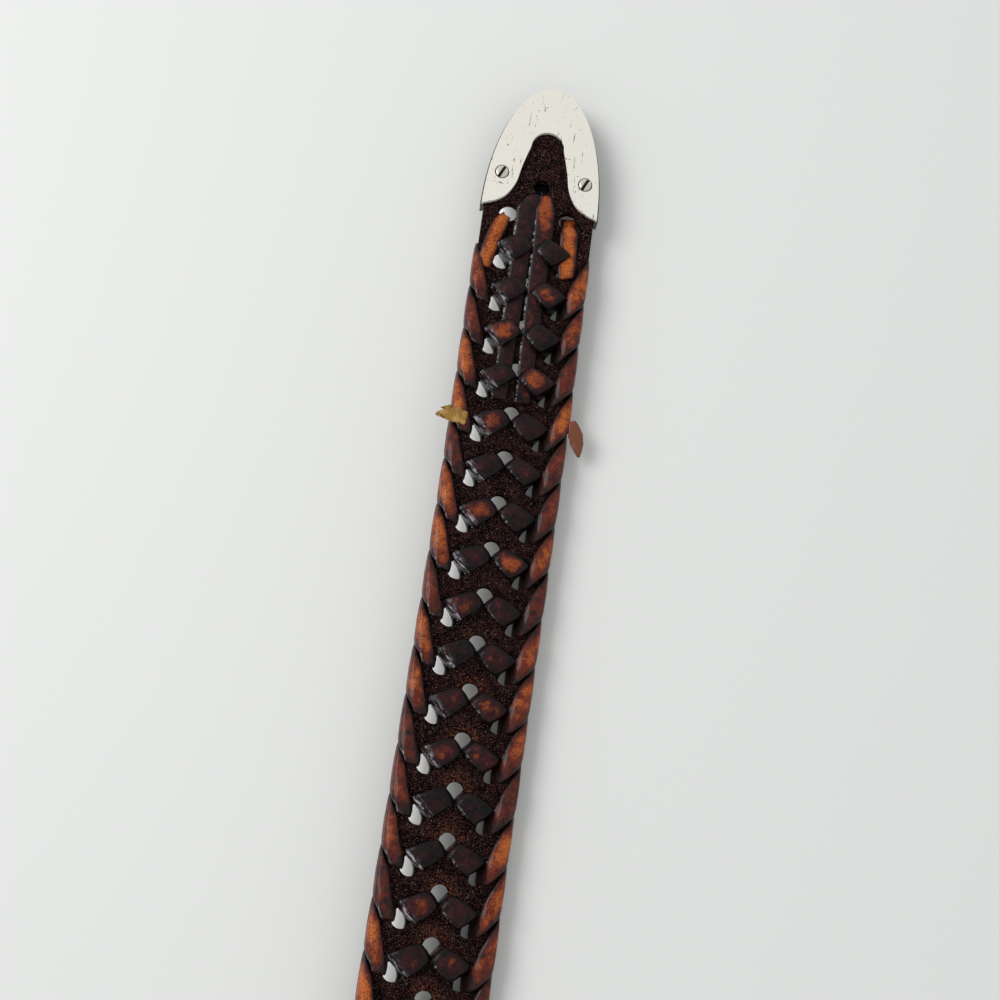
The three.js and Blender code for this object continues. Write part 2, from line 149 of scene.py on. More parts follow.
# %% [markdown]
# Every new piece is a mesh made from whole arrays, which is quicker than adding points one by one.
# These helpers join a grid of points with quads, make the object, and store numbers on its points as
# attributes for the materials to read, such as a tone for each turn of thong.

# %% Mesh helpers
def grid_quads(rows, cols, wrap=False):
    """Quads of a rows x cols grid of points, as indexes; with wrap the last column meets the first."""
    last = cols if wrap else cols - 1
    r, c = np.meshgrid(np.arange(rows - 1), np.arange(last), indexing="ij")
    d = (c + 1) % cols
    here, below = r * cols, (r + 1) * cols
    return np.stack([here + c, here + d, below + d, below + c], -1).reshape(-1, 4)


def tube_faces(rings, sides):
    """Quads round a tube of rings, and one face to close each end."""
    first, last = list(range(sides)), list(range((rings - 1) * sides, rings * sides))
    return grid_quads(rings, sides, wrap=True).tolist() + [first[::-1], last]


def make_piece(name, points, faces, slot, node=None, smooth=True, **attributes):
    """A mesh object in the frame, riding on the belt, with its point attributes; the slot is not used."""
    mesh = bpy.data.meshes.new(name)
    mesh.from_pydata(points.tolist(), [], [list(map(int, f)) for f in faces])
    for key, values in attributes.items():
        values = np.asarray(values, float)
        kind = "FLOAT" if values.ndim == 1 else "FLOAT_VECTOR"
        layer = mesh.attributes.new(key, kind, "POINT")
        layer.data.foreach_set("value" if values.ndim == 1 else "vector", values.ravel())
    mesh.polygons.foreach_set("use_smooth", np.full(len(mesh.polygons), smooth))
    mesh.validate()
    piece = bpy.data.objects.new(name, mesh)
    bpy.context.scene.collection.objects.link(piece)
    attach(piece, "root")
    if node:
        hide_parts(node)
    triangles = sum(len(p.vertices) - 2 for p in mesh.polygons)
    print(f"{name}: {len(mesh.vertices)} points, {triangles} triangles")
    return piece


print("a tube of 3 rings with 4 sides has", len(tube_faces(3, 4)), "faces")

# %% [markdown]
# The strap is a flat sheet with round holes. They could be cut with booleans, which leave long thin
# faces. Instead each hole sits in its own cell, one pitch long: a patch whose rings go from the cell's
# rectangle in to the circle, round the lip, down the wall and out again on the other side.

# %% A cell with a hole
CELL_STEPS = 12
CELL_EDGE = 4.0
LIP = 0.35
SHEET_SHARES = (1.0, 0.55, 0.2)
TOP_LIP_ANGLES = (0.3, 0.8, math.pi / 2)
LOW_LIP_ANGLES = (math.pi / 2, 0.5)


def rectangle_loop(x0, x1, s0, s1, across):
    """Points round a rectangle: CELL_STEPS on each long side and `across` on each short side."""
    along = np.linspace(s0, s1, CELL_STEPS + 1)[:-1]
    over = np.linspace(x0, x1, across + 1)[:-1]
    sides = [
        np.stack([np.full_like(along, x0), along], -1),
        np.stack([over, np.full_like(over, s1)], -1),
        np.stack([np.full_like(along, x1), (s0 + s1 - along)], -1),
        np.stack([(x0 + x1 - over), np.full_like(over, s0)], -1),
    ]
    return np.concatenate(sides)


def pierced_cell(x0, x1, s0, s1, hole_x, hole_s, radius, across):
    """Rings from the rectangle to the hole and back: top sheet, rounded lip, wall, lip, lower sheet."""
    edge = rectangle_loop(x0, x1, s0, s1, across)
    arm = edge - (hole_x, hole_s)
    unit = arm / np.linalg.norm(arm, axis=1, keepdims=True)

    def ring(distance, h, share=0.0):
        """A ring round the hole, drawn out towards the rectangle by a share."""
        flat = (hole_x, hole_s) + unit * distance
        flat = flat * (1 - share) + edge * share
        return np.column_stack([flat, np.full(len(edge), h)])

    top = [ring(radius + LIP, STRAP_HIGH, share) for share in SHEET_SHARES]
    top += [ring(radius + LIP * (1 - math.sin(t)), STRAP_HIGH - LIP * (1 - math.cos(t)))
            for t in TOP_LIP_ANGLES]
    low = [ring(radius + LIP * (1 - math.sin(t)), STRAP_LOW + LIP * (1 - math.cos(t)))
           for t in LOW_LIP_ANGLES]
    low += [ring(radius + LIP, STRAP_LOW, share) for share in (0.0, 1.0)]
    rings = np.stack(top + low)
    return rings.reshape(-1, 3), grid_quads(len(rings), len(edge), wrap=True)


print("a ring of a cell has", len(rectangle_loop(0, CELL_EDGE, 0, PITCH, 6)), "points")

# %% [markdown]
# The cells of the three rows meet along the belt. Plain stretches close the sheet at the buckle's end
# and under the metal tip, where it is rounded like the tip, and a thin wall with a slight bulge runs
# along each edge.

# %% The whole strap
FIRST_CELL_UNDER = 5.0
FIRST_CELL_START = TIP_LENGTH - FIRST_CELL_UNDER
NOSE_END = TIP_LENGTH - PITCH
NOSE_START = SEAT_GAP + RIM_WALL
NOSE_GRID = (13, 21)
WALL_GRID = (400, 4)
END_WALL_POINTS = 9
END_STEPS = 30
UNDER_TIP_STEPS = 4
EDGE_ACROSS = 6
MIDDLE_ACROSS = 8
EDGE_BULGE = 0.25
ROW_HALF = PITCH / 2


def strap_mesh():
    """All cells, the plain ends and the edge walls, as one list of points and faces."""
    points, faces, count = [], [], 0

    def add(p, f):
        nonlocal count
        points.append(p)
        faces.extend((np.asarray(f) + count).tolist())
        count += len(p)

    def sheets(flat):
        """A grid of (x, s) points at both faces of the strap."""
        for h in (STRAP_HIGH, STRAP_LOW):
            both = np.concatenate([flat, np.full((*flat.shape[:2], 1), h)], -1)
            add(both.reshape(-1, 3), grid_quads(*flat.shape[:2]))

    def plain(x0, x1, s0, s1, steps, across):
        """A plain stretch of sheet, both faces."""
        u, v = np.meshgrid(np.linspace(x0, x1, across + 1), np.linspace(s0, s1, steps + 1))
        sheets(np.stack([u, v], -1))

    def edge_cell(side, s0, s1, hole_s):
        """A cell of an edge row; side -1 is left and 1 is right."""
        x0, x1 = sorted((side * CELL_EDGE, side * HALF_STRAP))
        add(*pierced_cell(x0, x1, s0, s1, side * EDGE_HOLE_X, hole_s, EDGE_HOLE_RADIUS, EDGE_ACROSS))

    def centre_cell(s0, s1, hole_s):
        """A cell of the middle row."""
        add(*pierced_cell(-CELL_EDGE, CELL_EDGE, s0, s1, 0, hole_s, CENTRE_HOLE_RADIUS, MIDDLE_ACROSS))

    for hole_s in row_s:
        for side in (-1, 1):
            edge_cell(side, hole_s - ROW_HALF, hole_s + ROW_HALF, hole_s)
        centre_cell(hole_s - PITCH, hole_s, hole_s - CENTRE_LEAD)
    for side in (-1, 1):
        x0, x1 = sorted((side * CELL_EDGE, side * HALF_STRAP))
        edge_cell(side, FIRST_CELL_START, row_s[0] - ROW_HALF, FIRST_EDGE_HOLES)
        plain(x0, x1, row_s[-1] + ROW_HALF, STRAP_END, END_STEPS, EDGE_ACROSS)
        plain(x0, x1, NOSE_END, FIRST_CELL_START, UNDER_TIP_STEPS, EDGE_ACROSS)
    centre_cell(NOSE_END, row_s[0] - PITCH, FIRST_CENTRE_HOLE)
    plain(-CELL_EDGE, CELL_EDGE, row_s[-1], STRAP_END, END_STEPS + 2, MIDDLE_ACROSS)
    u, v = np.meshgrid(np.linspace(-1, 1, NOSE_GRID[1]), np.linspace(0.02, 1, NOSE_GRID[0]))
    depth = v * (NOSE_END - NOSE_START)
    half = HALF_STRAP * np.sqrt(np.clip(1 - (1 - depth / (TIP_LENGTH - NOSE_START)) ** 2, 0, 1))
    sheets(np.stack([u * half, NOSE_START + depth], -1))
    s = np.linspace(NOSE_END, STRAP_END, WALL_GRID[0])
    h = np.linspace(STRAP_LOW, STRAP_HIGH, WALL_GRID[1])
    bulge = EDGE_BULGE * np.sin(np.pi * (h - STRAP_LOW) / STRAP_THICK)
    for side in (-1, 1):
        wall = np.stack(np.broadcast_arrays(side * (HALF_STRAP + bulge[None]), s[:, None], h[None]), -1)
        add(wall.reshape(-1, 3), grid_quads(*WALL_GRID))
    x = np.linspace(-HALF_STRAP, HALF_STRAP, END_WALL_POINTS)
    end = np.stack(np.meshgrid(x, [STRAP_LOW, STRAP_HIGH]), -1)
    add(np.insert(end.reshape(-1, 2), 1, STRAP_END, axis=1), grid_quads(2, END_WALL_POINTS))
    return np.concatenate(points), faces


strap_points, strap_faces = strap_mesh()
print("the strap has", len(strap_faces), "faces")

# %% [markdown]
# The suede is rubbed up into reddish tufts round the centre holes, from the middle of the view on.
# The tufts could be real hairs, but at this size they read as colour, so each point only stores how
# near it is to a hole, and the material turns that into fibres.

# %% The strap with its tufts
WEAR_FROM = 140.0
TUFT_REACH = 2.6
TUFT_STRETCH = 1.6
TUFT_LEVEL = 1.15

near = np.mod(strap_points[:, 1] - (row_s[0] - CENTRE_LEAD) + ROW_HALF, PITCH) - ROW_HALF
stretched = np.where(near > 0, TUFT_STRETCH * near, near)
reach = np.hypot(strap_points[:, 0], stretched) - CENTRE_HOLE_RADIUS
worn_rows = ease(strap_points[:, 1], WEAR_FROM, WEAR_FROM + 2 * PITCH)
on_top = strap_points[:, 2] > STRAP_HIGH - LIP
tuft = np.clip(TUFT_LEVEL - reach / TUFT_REACH, 0, 1) * worn_rows * on_top
make_piece("strap_leather", lay(strap_points), strap_faces, "strap_leather", "base_strap",
           smooth=False, tuft=tuft)

# %% [markdown]
# A thong is a chain of stations. A curve with a bevel would twist where it folds, so each station holds
# its middle, half its width and half its thickness as vectors, and a fold or a squeeze through a hole
# is only a change from one station to the next. The stations of one turn stand in a short table and
# are repeated for every row of holes, with a little chance in each so that no two turns are alike.

# %% Stations and turns
Station = namedtuple(
    "Station", "out along up half_out half_along half_up thick_out thick_along thick_up")
OUT, ALONG, UP, HALF_OUT, HALF_ALONG, HALF_UP = range(6)
PLACE = slice(0, 3)
HALF_WIDTH = slice(3, 6)
HALF_THICK = slice(6, 9)
JITTER = 0.12
WIDTH_JITTER = 0.4 * JITTER


def turns(table, rows):
    """One turn's table repeated at each row, as (rows, stations, 9), with seeded chance in each."""
    one = np.array(table, float)
    every = np.repeat(one[None], len(rows), axis=0)
    every[:, :, ALONG] += np.asarray(rows)[:, None]
    shove = rng.normal(0, JITTER, (len(rows), 1, 2))
    on_back = (one[:, UP] > STRAP_HIGH)[None, :, None]
    every[:, :, OUT:UP] += shove * on_back
    every[:, :, HALF_OUT:HALF_UP] *= 1 + rng.normal(0, WIDTH_JITTER, (len(rows), 1, 1)) * on_back
    return every


print("a station has", len(Station._fields), "numbers")

# %% [markdown]
# A strip of leather has rounded edges and swells a little on its outer side. Its section is a
# superellipse, which is squarer than an oval and needs only 14 points. Carried along the smoothed chain
# it makes the skin. Cut edges catch the light, so some points get a glint, which the material paints
# as a pale highlight: whole stations where the thong folds, and single lines along one corner of the
# section.

# %% The skin of a thong
SAMPLES = 7
SMOOTHING = 3
SECTION_POINTS = 14
SECTION_DOME = 0.35
ACROSS_POWER = 0.45
THICK_POWER = 0.6
RIGHT_CORNER = 0
LEFT_CORNER = 6
BESIDE_CORNER = 0.9


def section_profile():
    """A rounded strip: (across, thick) pairs round a superellipse whose outer side is domed."""
    angle = 2 * np.pi * (np.arange(SECTION_POINTS) + 0.5) / SECTION_POINTS
    a = np.sign(np.cos(angle)) * np.abs(np.cos(angle)) ** ACROSS_POWER
    b = np.sign(np.sin(angle)) * np.abs(np.sin(angle)) ** THICK_POWER
    return a, np.where(b > 0, b * (1 + SECTION_DOME * (1 - a * a)), b)


def smooth_chain(chain):
    """Stations sampled between each other and averaged with their neighbours, which rounds the folds."""
    t = np.linspace(0, 1, SAMPLES, endpoint=False)[None, :, None]
    dense = (chain[:-1, None] * (1 - t) + chain[1:, None] * t).reshape(-1, chain.shape[1])
    dense = np.concatenate([dense, chain[-1:]])
    for _ in range(SMOOTHING):
        dense[1:-1] = (dense[:-2] + 2 * dense[1:-1] + dense[2:]) / 4
    return dense


def edge_glint(folds, lines, sides):
    """Painted highlights: folds all round; a line above 0 on the right corner, below 0 on the left one."""
    glint = np.repeat(folds[:, None], sides, axis=1)
    for corner, inward, line in ((RIGHT_CORNER, 1, lines), (LEFT_CORNER, -1, -lines)):
        glint[:, corner] += np.clip(line, 0, None)
        glint[:, corner + inward] += BESIDE_CORNER * np.clip(line, 0, None)
    return np.clip(glint, 0, 1)


def make_thong(name, node, slot, chain, side, tones, folds, lines):
    """The section carried along the chain; side -1 mirrors it to the belt's left."""
    dense = smooth_chain(np.column_stack([chain, tones, folds, lines]))
    middle, across, thick = dense[:, PLACE], dense[:, HALF_WIDTH], dense[:, HALF_THICK]
    tones, folds, lines = dense[:, HALF_THICK.stop:].T
    a, b = section_profile()
    flat = middle[:, None] + across[:, None] * a[None, :, None] + thick[:, None] * b[None, :, None]
    flat[..., 0] *= side
    run = np.concatenate([[0], np.cumsum(np.linalg.norm(np.diff(middle, axis=0), axis=1))])
    width = np.linalg.norm(across, axis=1)
    strand = np.stack(np.broadcast_arrays(run[:, None], width[:, None] * a[None], 0.0), -1)
    rings, sides = flat.shape[:2]
    faces = tube_faces(rings, sides)
    if side > 0:
        faces = [f[::-1] for f in faces]
    print(f"{name} is {run[-1] / 1000:.2f} m long")
    return make_piece(name, lay(flat.reshape(-1, 3)), faces, slot, node,
                      tone=np.repeat(tones, sides), rim=np.tile(np.abs(a), rings),
                      strand=strand.reshape(-1, 3), glint=edge_glint(folds, lines, sides).ravel())


print("the section's dome rises to", section_profile()[1].max().round(2), "of its half thickness")

# %% [markdown]
# The edge laces wind round the strap's edge. Each turn comes up through its hole, folds over the rim
# in a short blunt line, widens like a leaf towards the edge while it slants to the tip, and goes back
# along the front to the next hole. The side towards the buckle stands a little proud, so each wrap
# laps over the next one and leaves a dark groove. The painted shade says how much of a turn's tone each
# station takes: it turns the thong nearly black down in its hole and lets the tone show most on the
# middle of the wrap. The lines are painted highlights where its cut edge shines.

# %% One turn of an edge lace
EDGE_TURN = [
    Station(10.0, -0.5, 0.6, 0, 1.6, 0, -0.35, 0, -0.4),
    Station(10.0, -0.6, 4.0, 0, 1.7, 0, -0.45, 0, 0.3),
    Station(10.7, -1.3, BACK_LEVEL + 0.2, 0.6, 2.6, 0.1, -0.25, 0, 0.5),
    Station(11.8, -3.4, BACK_LEVEL + 0.5, 0.6, 3.9, 0.3, 0, 0, 0.6),
    Station(13.4, -6.2, BACK_LEVEL + 0.45, 0.3, 5.2, 0.45, 0.15, 0, 0.6),
    Station(14.8, -8.6, BACK_LEVEL - 0.2, 0, 6.2, 0.35, 0.45, 0, 0.45),
    Station(15.2, -10.0, 2.9, 0, 6.2, 0.1, 0.5, 0, 0),
    Station(14.7, -11.0, FRONT_LEVEL + 0.05, 0, 5.9, 0, 0.4, 0, -0.45),
]
# painted shade along a turn: nearly black down in its hole, lightest on the middle of the wrap
EDGE_PAINTED_SHADE = np.array([-1, -0.8, 0.3, 0.75, 1, 0.9, 0.6, 0.4])
# painted highlights along the cut edge, for the left lace and for the right one
EDGE_GLINT_LINE = np.array([0, 0, 0.5, 0.8, 0.85, 0.4, 0, 0])
RIGHT_EDGE_GLINT_LINE = np.array([0, -0.6, -0.9, -0.3, 0, 0, 0, 0])
print("an edge turn has", len(EDGE_TURN), "stations")

# %% [markdown]
# The two edges aren't quite alike. On the left the fold lies further out and is shorter. On the right
# the wraps are pulled in, and the strand that comes up through each hole is wide enough to fill it
# partly; the painted shade of its stations makes it nearly black, a dark fill for the shade down in
# the hole. By the tip, each lace ends as a flat orange strip that comes up through the first hole.

# %% Edge laces
LEFT_FOLD_SHIFT = 0.8
LEFT_FOLD_HALF = 1.9
RIGHT_TUCK = -0.45
RIGHT_STRAND_WIDER = 1.3
RIGHT_STRAND_IN = 1.6
FOLD_STATIONS = slice(2, 4)
STRAND_STATIONS = slice(0, 2)
WRAP_STATIONS = slice(3, None)
WRAP_TONES = (0.25, 1)
STRIP_TONE = 0.95
LEFT_STRIP = [
    Station(8.8, -0.3, 0.6, 0, 1.6, 0, -0.35, 0, -0.4),
    Station(9.0, 1.8, 4.6, -1.8, 0.2, 0, -0.1, -0.45, 0.3),
    Station(9.8, 4.2, BACK_LEVEL + 0.2, -2.1, 0.3, 0, 0, 0, 0.65),
    Station(10.8, 7.5, BACK_LEVEL + 0.1, -2.1, 0.5, 0, 0, 0, 0.65),
    Station(11.8, 12.0, BACK_LEVEL, -2.1, 0.5, 0, 0, 0, 0.6),
    Station(12.6, 16.5, BACK_LEVEL - 0.3, -1.9, 0.5, 0, 0, 0, 0.5),
]
RIGHT_STRIP = [
    Station(8.3, -2.8, 0.9, -2.3, 0.1, 0, 0, 0, -0.6),
    Station(8.4, 1.4, 2.4, -2.1, 0.1, 0, 0, -0.5, -0.1),
    Station(8.5, 2.5, 4.6, -2.0, 0.1, 0, -0.1, -0.45, 0.3),
    Station(8.7, 4.2, BACK_LEVEL + 0.1, -2.4, 0.1, 0, 0, 0, 0.5),
    Station(8.9, 8.5, BACK_LEVEL, -2.4, 0.1, 0, 0, 0, 0.5),
    Station(9.0, 13.0, BACK_LEVEL + 0.1, -2.4, 0.3, 0, 0, 0, 0.5),
    Station(9.4, 16.5, BACK_LEVEL - 0.2, -2.0, 0.6, 0, 0, 0, 0.5),
]
FIRST_WRAP_ROW = 1


def edge_chain(side):
    """All turns from the last row to the first wrap, then the strip by the tip."""
    rows = row_s[FIRST_WRAP_ROW:][::-1]
    every = turns(EDGE_TURN, rows)
    if side < 0:
        every[:, FOLD_STATIONS, OUT] += LEFT_FOLD_SHIFT
        every[:, FOLD_STATIONS.start, HALF_ALONG] = LEFT_FOLD_HALF
    else:
        every[:, WRAP_STATIONS, OUT] += RIGHT_TUCK
        every[:, STRAND_STATIONS.start, OUT] -= RIGHT_STRAND_IN
        every[:, STRAND_STATIONS, HALF_ALONG] += RIGHT_STRAND_WIDER
    strip = np.array(LEFT_STRIP if side < 0 else RIGHT_STRIP)
    strip[:, ALONG] += FIRST_EDGE_HOLES
    turn_tones = rng.uniform(*WRAP_TONES, len(rows))[:, None] * EDGE_PAINTED_SHADE
    tones = np.concatenate([turn_tones.ravel(), np.full(len(strip), STRIP_TONE)])
    turn_lines = np.tile(EDGE_GLINT_LINE if side < 0 else RIGHT_EDGE_GLINT_LINE, (len(rows), 1))
    lines = np.concatenate([turn_lines.ravel(), np.zeros(len(strip))])
    return np.concatenate([*every, strip]), tones, lines


for label, side in (("left", -1), ("right", 1)):
    chain, tones, lines = edge_chain(side)
    folds = np.zeros(len(tones))
    make_thong(f"{label}_edge_thong", f"{label}_edge_lace", "edge_thong",
               chain, side, tones, folds, lines)

# %% [markdown]
# The centre laces make the chevrons. Each comes up through a centre hole, crosses slantwise to the
# edge hole, folds down into it and goes back along the front to the next centre hole. The left arm's
# fold shows pale stripes and the right arm a pale line along its lower edge, both painted highlights.
# The painted shade keeps each chevron dark at its ends, down in the holes, and shows its tone in the
# middle.

# %% One turn of a centre lace
CENTRE_TURN = [
    Station(1.2, -CENTRE_LEAD + 1.3, 0.6, -1.0, 1.1, 0, -0.3, -0.25, -0.4),
    Station(1.3, -CENTRE_LEAD + 1.3, 4.3, -1.3, 1.4, 0, -0.35, -0.3, 0.3),
    Station(2.0, -CENTRE_LEAD + 1.6, BACK_LEVEL + 0.2, -1.3, 1.9, 0, -0.1, -0.1, 0.55),
    Station(3.9, -3.8, BACK_LEVEL + 0.45, -1.7, 2.3, 0, 0, 0, 0.6),
    Station(5.8, -2.6, BACK_LEVEL + 0.4, -2.1, 2.3, 0, 0.05, 0.05, 0.6),
    Station(7.2, -1.7, BACK_LEVEL, -2.4, 2.1, 0, 0.25, 0.25, 0.45),
    Station(7.5, -1.3, 3.9, -2.5, 2.0, 0, 0.3, 0.3, 0.2),
    Station(7.4, -1.4, 0.9, -1.5, 1.2, 0, 0.2, 0.2, -0.4),
    Station(6.2, 1.7, 0.8, 1.0, 1.2, 0, 0, -0.1, -0.5),
    Station(4.8, 3.4, 0.6, 1.2, 1.3, 0, 0, 0, -0.6),
]
# painted shade along a turn: dark at both ends, down in the holes, toned in the middle
CENTRE_PAINTED_SHADE = np.array([0, 0, 0.35, 1, 0.95, 0.3, 0, 0, 0, 0])
# painted highlights: broken stripes on the left arm's fold, a line on the right arm's lower edge
FOLD_GLINT_STRIPES = np.array([0, 0, 0, 0, 0, 1, 0.3, 0, 0, 0])
LOWER_GLINT_LINE = np.array([0, 0, 0.8, 0.85, 0.3, 0, 0, 0, 0, 0])
print("a centre turn has", len(CENTRE_TURN), "stations")

# %% [markdown]
# Both centre laces start as loose tails that run lengthwise under the first chevrons, which are lifted
# over them. The tails go down through the first centre hole and close it from below. Down in the hole
# and under the strap their tone is painted shade, nearly black, and a pale line along the left edge of
# each tail is a painted highlight.

# %% Centre laces
LEFT_TAIL_X = 3.4
RIGHT_TAIL_X = 1.9
HOLE_STATIONS = slice(4, 7)
HOLE_SHADE_FROM = HOLE_STATIONS.stop - 2
CRACKED_STATIONS = slice(3, 5)
TAIL_TONE = 0.35
CRACKED_TONE = 1.0
HOLE_SHADE_TONE = -1.0
TAIL_GLINT_LINE = 0.92
CHEVRON_TONES = (0.1, 0.95)
GLOW_ROWS = 9
PAST_GLOW = 0.7
TAIL = [
    Station(0.4, ROW_START + TAIL_ROWS * PITCH - 9.5, BACK_LEVEL - 0.6, 2.0, 0, 0, 0, 0, 0.5),
    Station(0.0, ROW_START + PITCH, BACK_LEVEL - 0.1, 2.5, 0, 0, 0, 0, 0.6),
    Station(0.0, ROW_START - 6, BACK_LEVEL + 0.3, 2.6, 0, 0, 0, 0, 0.6),
    Station(-0.3, FIRST_CENTRE_HOLE + 7, BACK_LEVEL + 0.5, 2.8, 0, 0, 0, 0, 0.6),
    Station(1.4, FIRST_CENTRE_HOLE + 3.4, 5.0, 1.5, 0, 0, 0, -0.3, 0.5),
    Station(1.2, FIRST_CENTRE_HOLE + 2.4, 3.6, 1.3, 0, 0, 0, -0.6, 0.2),
    Station(1.3, FIRST_CENTRE_HOLE - 3.4, 0.8, 1.6, 0, 0, 0, 0, -0.6),
    Station(1.0, FIRST_CENTRE_HOLE + 8, 0.6, 1.5, 0, 0, 0, 0, -0.6),
]


def centre_chain(side):
    """The tail, then all turns towards the buckle, the first ones lifted over the tail."""
    every = turns(CENTRE_TURN, row_s)
    lifted = THONG_THICK * (np.arange(ROWS) < TAIL_ROWS)
    on_back = every[:, :, UP] > STRAP_HIGH
    every[:, :, UP] += lifted[:, None] * on_back
    tail = np.array(TAIL)
    free = np.ones(len(tail), bool)
    free[HOLE_STATIONS] = False
    tail[free, OUT] += LEFT_TAIL_X if side < 0 else RIGHT_TAIL_X
    glow = np.where(np.arange(ROWS) < GLOW_ROWS, 1.0, PAST_GLOW)
    turn_tones = (rng.uniform(*CHEVRON_TONES, ROWS) * glow)[:, None] * CENTRE_PAINTED_SHADE
    tail_tones = np.full(len(tail), TAIL_TONE)
    # painted shade: nearly black down in the hole and under the strap
    tail_tones[HOLE_SHADE_FROM:] = HOLE_SHADE_TONE
    if side > 0:
        tail_tones[CRACKED_STATIONS] = CRACKED_TONE
    tones = np.concatenate([tail_tones, turn_tones.ravel()])
    folds = np.concatenate([np.zeros(len(tail)), np.tile(FOLD_GLINT_STRIPES, ROWS) * (side < 0)])
    # painted highlight along the left edge of each tail
    tail_lines = np.full(len(tail), -side * TAIL_GLINT_LINE)
    lines = np.concatenate([tail_lines, np.tile(LOWER_GLINT_LINE, ROWS) * (side > 0)])
    return np.concatenate([tail, *every]), tones, folds, lines


for label, side in (("left", -1), ("right", 1)):
    chain, tones, folds, lines = centre_chain(side)
    make_thong(f"{label}_centre_thong", f"{label}_centre_lace", "centre_thong",
               chain, side, tones, folds, lines)

# %% [markdown]
# The metal tip is two halves cut to one outline, a half ellipse with a U-shaped notch. The outline is
# drawn once, from arcs and one short table for the legs' inner edge, so that both halves and the screws
# agree. The plate's nose is set in a little, and the darker rim of the other half shows round it.

# %% The tip's outline
NOTCH_START = 13.2
NOTCH_RADIUS = 4.4
LEG_GAP = 0.2
LEG_SMOOTHING = 8
NOSE_POINTS = 65
LEG_POINTS = 41
NOTCH_POINTS = 25
LEG_EDGE = [(0.661, 0.392), (0.778, 0.430), (0.850, 0.500), (0.919, 0.601), (0.969, 0.772)]


def ellipse_arc(half_width, length):
    """The nose of the tip, from its left end over the point to its right end."""
    angle = np.linspace(0, np.pi, NOSE_POINTS)
    return np.column_stack([-half_width * np.cos(angle), TIP_LENGTH - length * np.sin(angle)])


def leg_curve():
    """The right leg's inner edge through its table, smoothed, from the corner up to the notch.

    The table has pairs of how far along the tip and how far out, as shares of the tip's size.
    """
    corner = (TIP_LENGTH, TIP_HALF - LEG_GAP)
    notch = (NOTCH_START + NOTCH_RADIUS, NOTCH_RADIUS)
    table = [(along * TIP_LENGTH, out * TIP_HALF) for along, out in LEG_EDGE[::-1]]
    knots = np.array([corner, *table, notch])
    t = np.linspace(0, len(knots) - 1, LEG_POINTS)
    curve = np.column_stack([np.interp(t, np.arange(len(knots)), knots[:, k]) for k in (1, 0)])
    for _ in range(LEG_SMOOTHING):
        curve[1:-1] = (curve[:-2] + 2 * curve[1:-1] + curve[2:]) / 4
    return curve


def tip_outline(inset=0.0):
    """Nose, right leg, notch arc and left leg, as one closed loop; the nose can be set in a little."""
    leg = leg_curve()
    angle = np.linspace(0, np.pi, NOTCH_POINTS)[1:-1]
    depth = NOTCH_START + NOTCH_RADIUS * (1 - np.sin(angle))
    arc = np.column_stack([NOTCH_RADIUS * np.cos(angle), depth])
    nose = ellipse_arc(TIP_HALF - inset, TIP_LENGTH - inset)
    leg[0, 0] = TIP_HALF - LEG_GAP - inset
    return np.concatenate([nose, leg, arc, (leg * (-1, 1))[::-1]])


print("the tip's outline has", len(tip_outline()), "points")

# %% [markdown]
# Both halves are flat sheets with a fine bevel, which gives metal its bright edge. The plate is pierced
# for the screws. The half that lies down is a dish, with a rim that closes the edge.

# %% The tip's plate and shell
SCREW_X = 11.2
SCREW_S = 26.4
SCREW_RADIUS = 1.65
SCREW_CLEARANCE = 0.3
PLATE_INSET = 0.38
PLATE_BEVEL = 0.15
SHELL_BEVEL = 0.12
RIM_OVERLAP = 0.05
BEVEL_ANGLE = math.radians(50)
SAME_POINT = 1e-6


def circle(x, s, radius, count=32):
    """Points round a circle."""
    angle = 2 * np.pi * np.arange(count) / count
    return np.column_stack([x + radius * np.cos(angle), s + radius * np.sin(angle)])


def sheet_mesh(loops, low, high):
    """A flat sheet between two heights, cut by its inner loops: both faces and all the walls."""
    ring = np.concatenate(loops)
    triangles = tessellate_polygon([[Vector((x, s, 0)) for x, s in loop] for loop in loops])
    count = len(ring)
    points = np.concatenate([np.column_stack([ring, np.full(count, h)]) for h in (low, high)])
    faces = [[a + count, b + count, c + count] for a, b, c in triangles]
    faces += [[c, b, a] for a, b, c in triangles]
    first = 0
    for loop in loops:
        j = first + np.arange(len(loop))
        k = first + (np.arange(len(loop)) + 1) % len(loop)
        faces += np.column_stack([j, k, k + count, j + count]).tolist()
        first += len(loop)
    return points, faces


def finish_sheet(piece, bevel=0):
    """Recalculate the normals of a closed sheet, then round its edges finely if a bevel is given."""
    bpy.context.view_layer.objects.active = piece
    for o in bpy.context.selected_objects:
        o.select_set(False)
    piece.select_set(True)
    bpy.ops.object.mode_set(mode="EDIT")
    bpy.ops.mesh.select_all(action="SELECT")
    bpy.ops.mesh.remove_doubles(threshold=SAME_POINT)
    bpy.ops.mesh.normals_make_consistent(inside=False)
    bpy.ops.object.mode_set(mode="OBJECT")
    if bevel:
        modifier = piece.modifiers.new("edge", "BEVEL")
        modifier.width = bevel * MM
        modifier.segments = 2
        modifier.limit_method = "ANGLE"
        modifier.angle_limit = BEVEL_ANGLE


plate_low = STRAP_HIGH + SEAT_GAP
plate_top = plate_low + PLATE_THICK
screw_holes = [circle(x, SCREW_S, SCREW_RADIUS + SCREW_CLEARANCE) for x in (-SCREW_X, SCREW_X)]
points, faces = sheet_mesh([tip_outline(PLATE_INSET), *screw_holes], plate_low, plate_top)
back_plate = make_piece("back_plate", lay(points), faces, "tip_metal", "tip_back_plate", smooth=False)
finish_sheet(back_plate, PLATE_BEVEL)

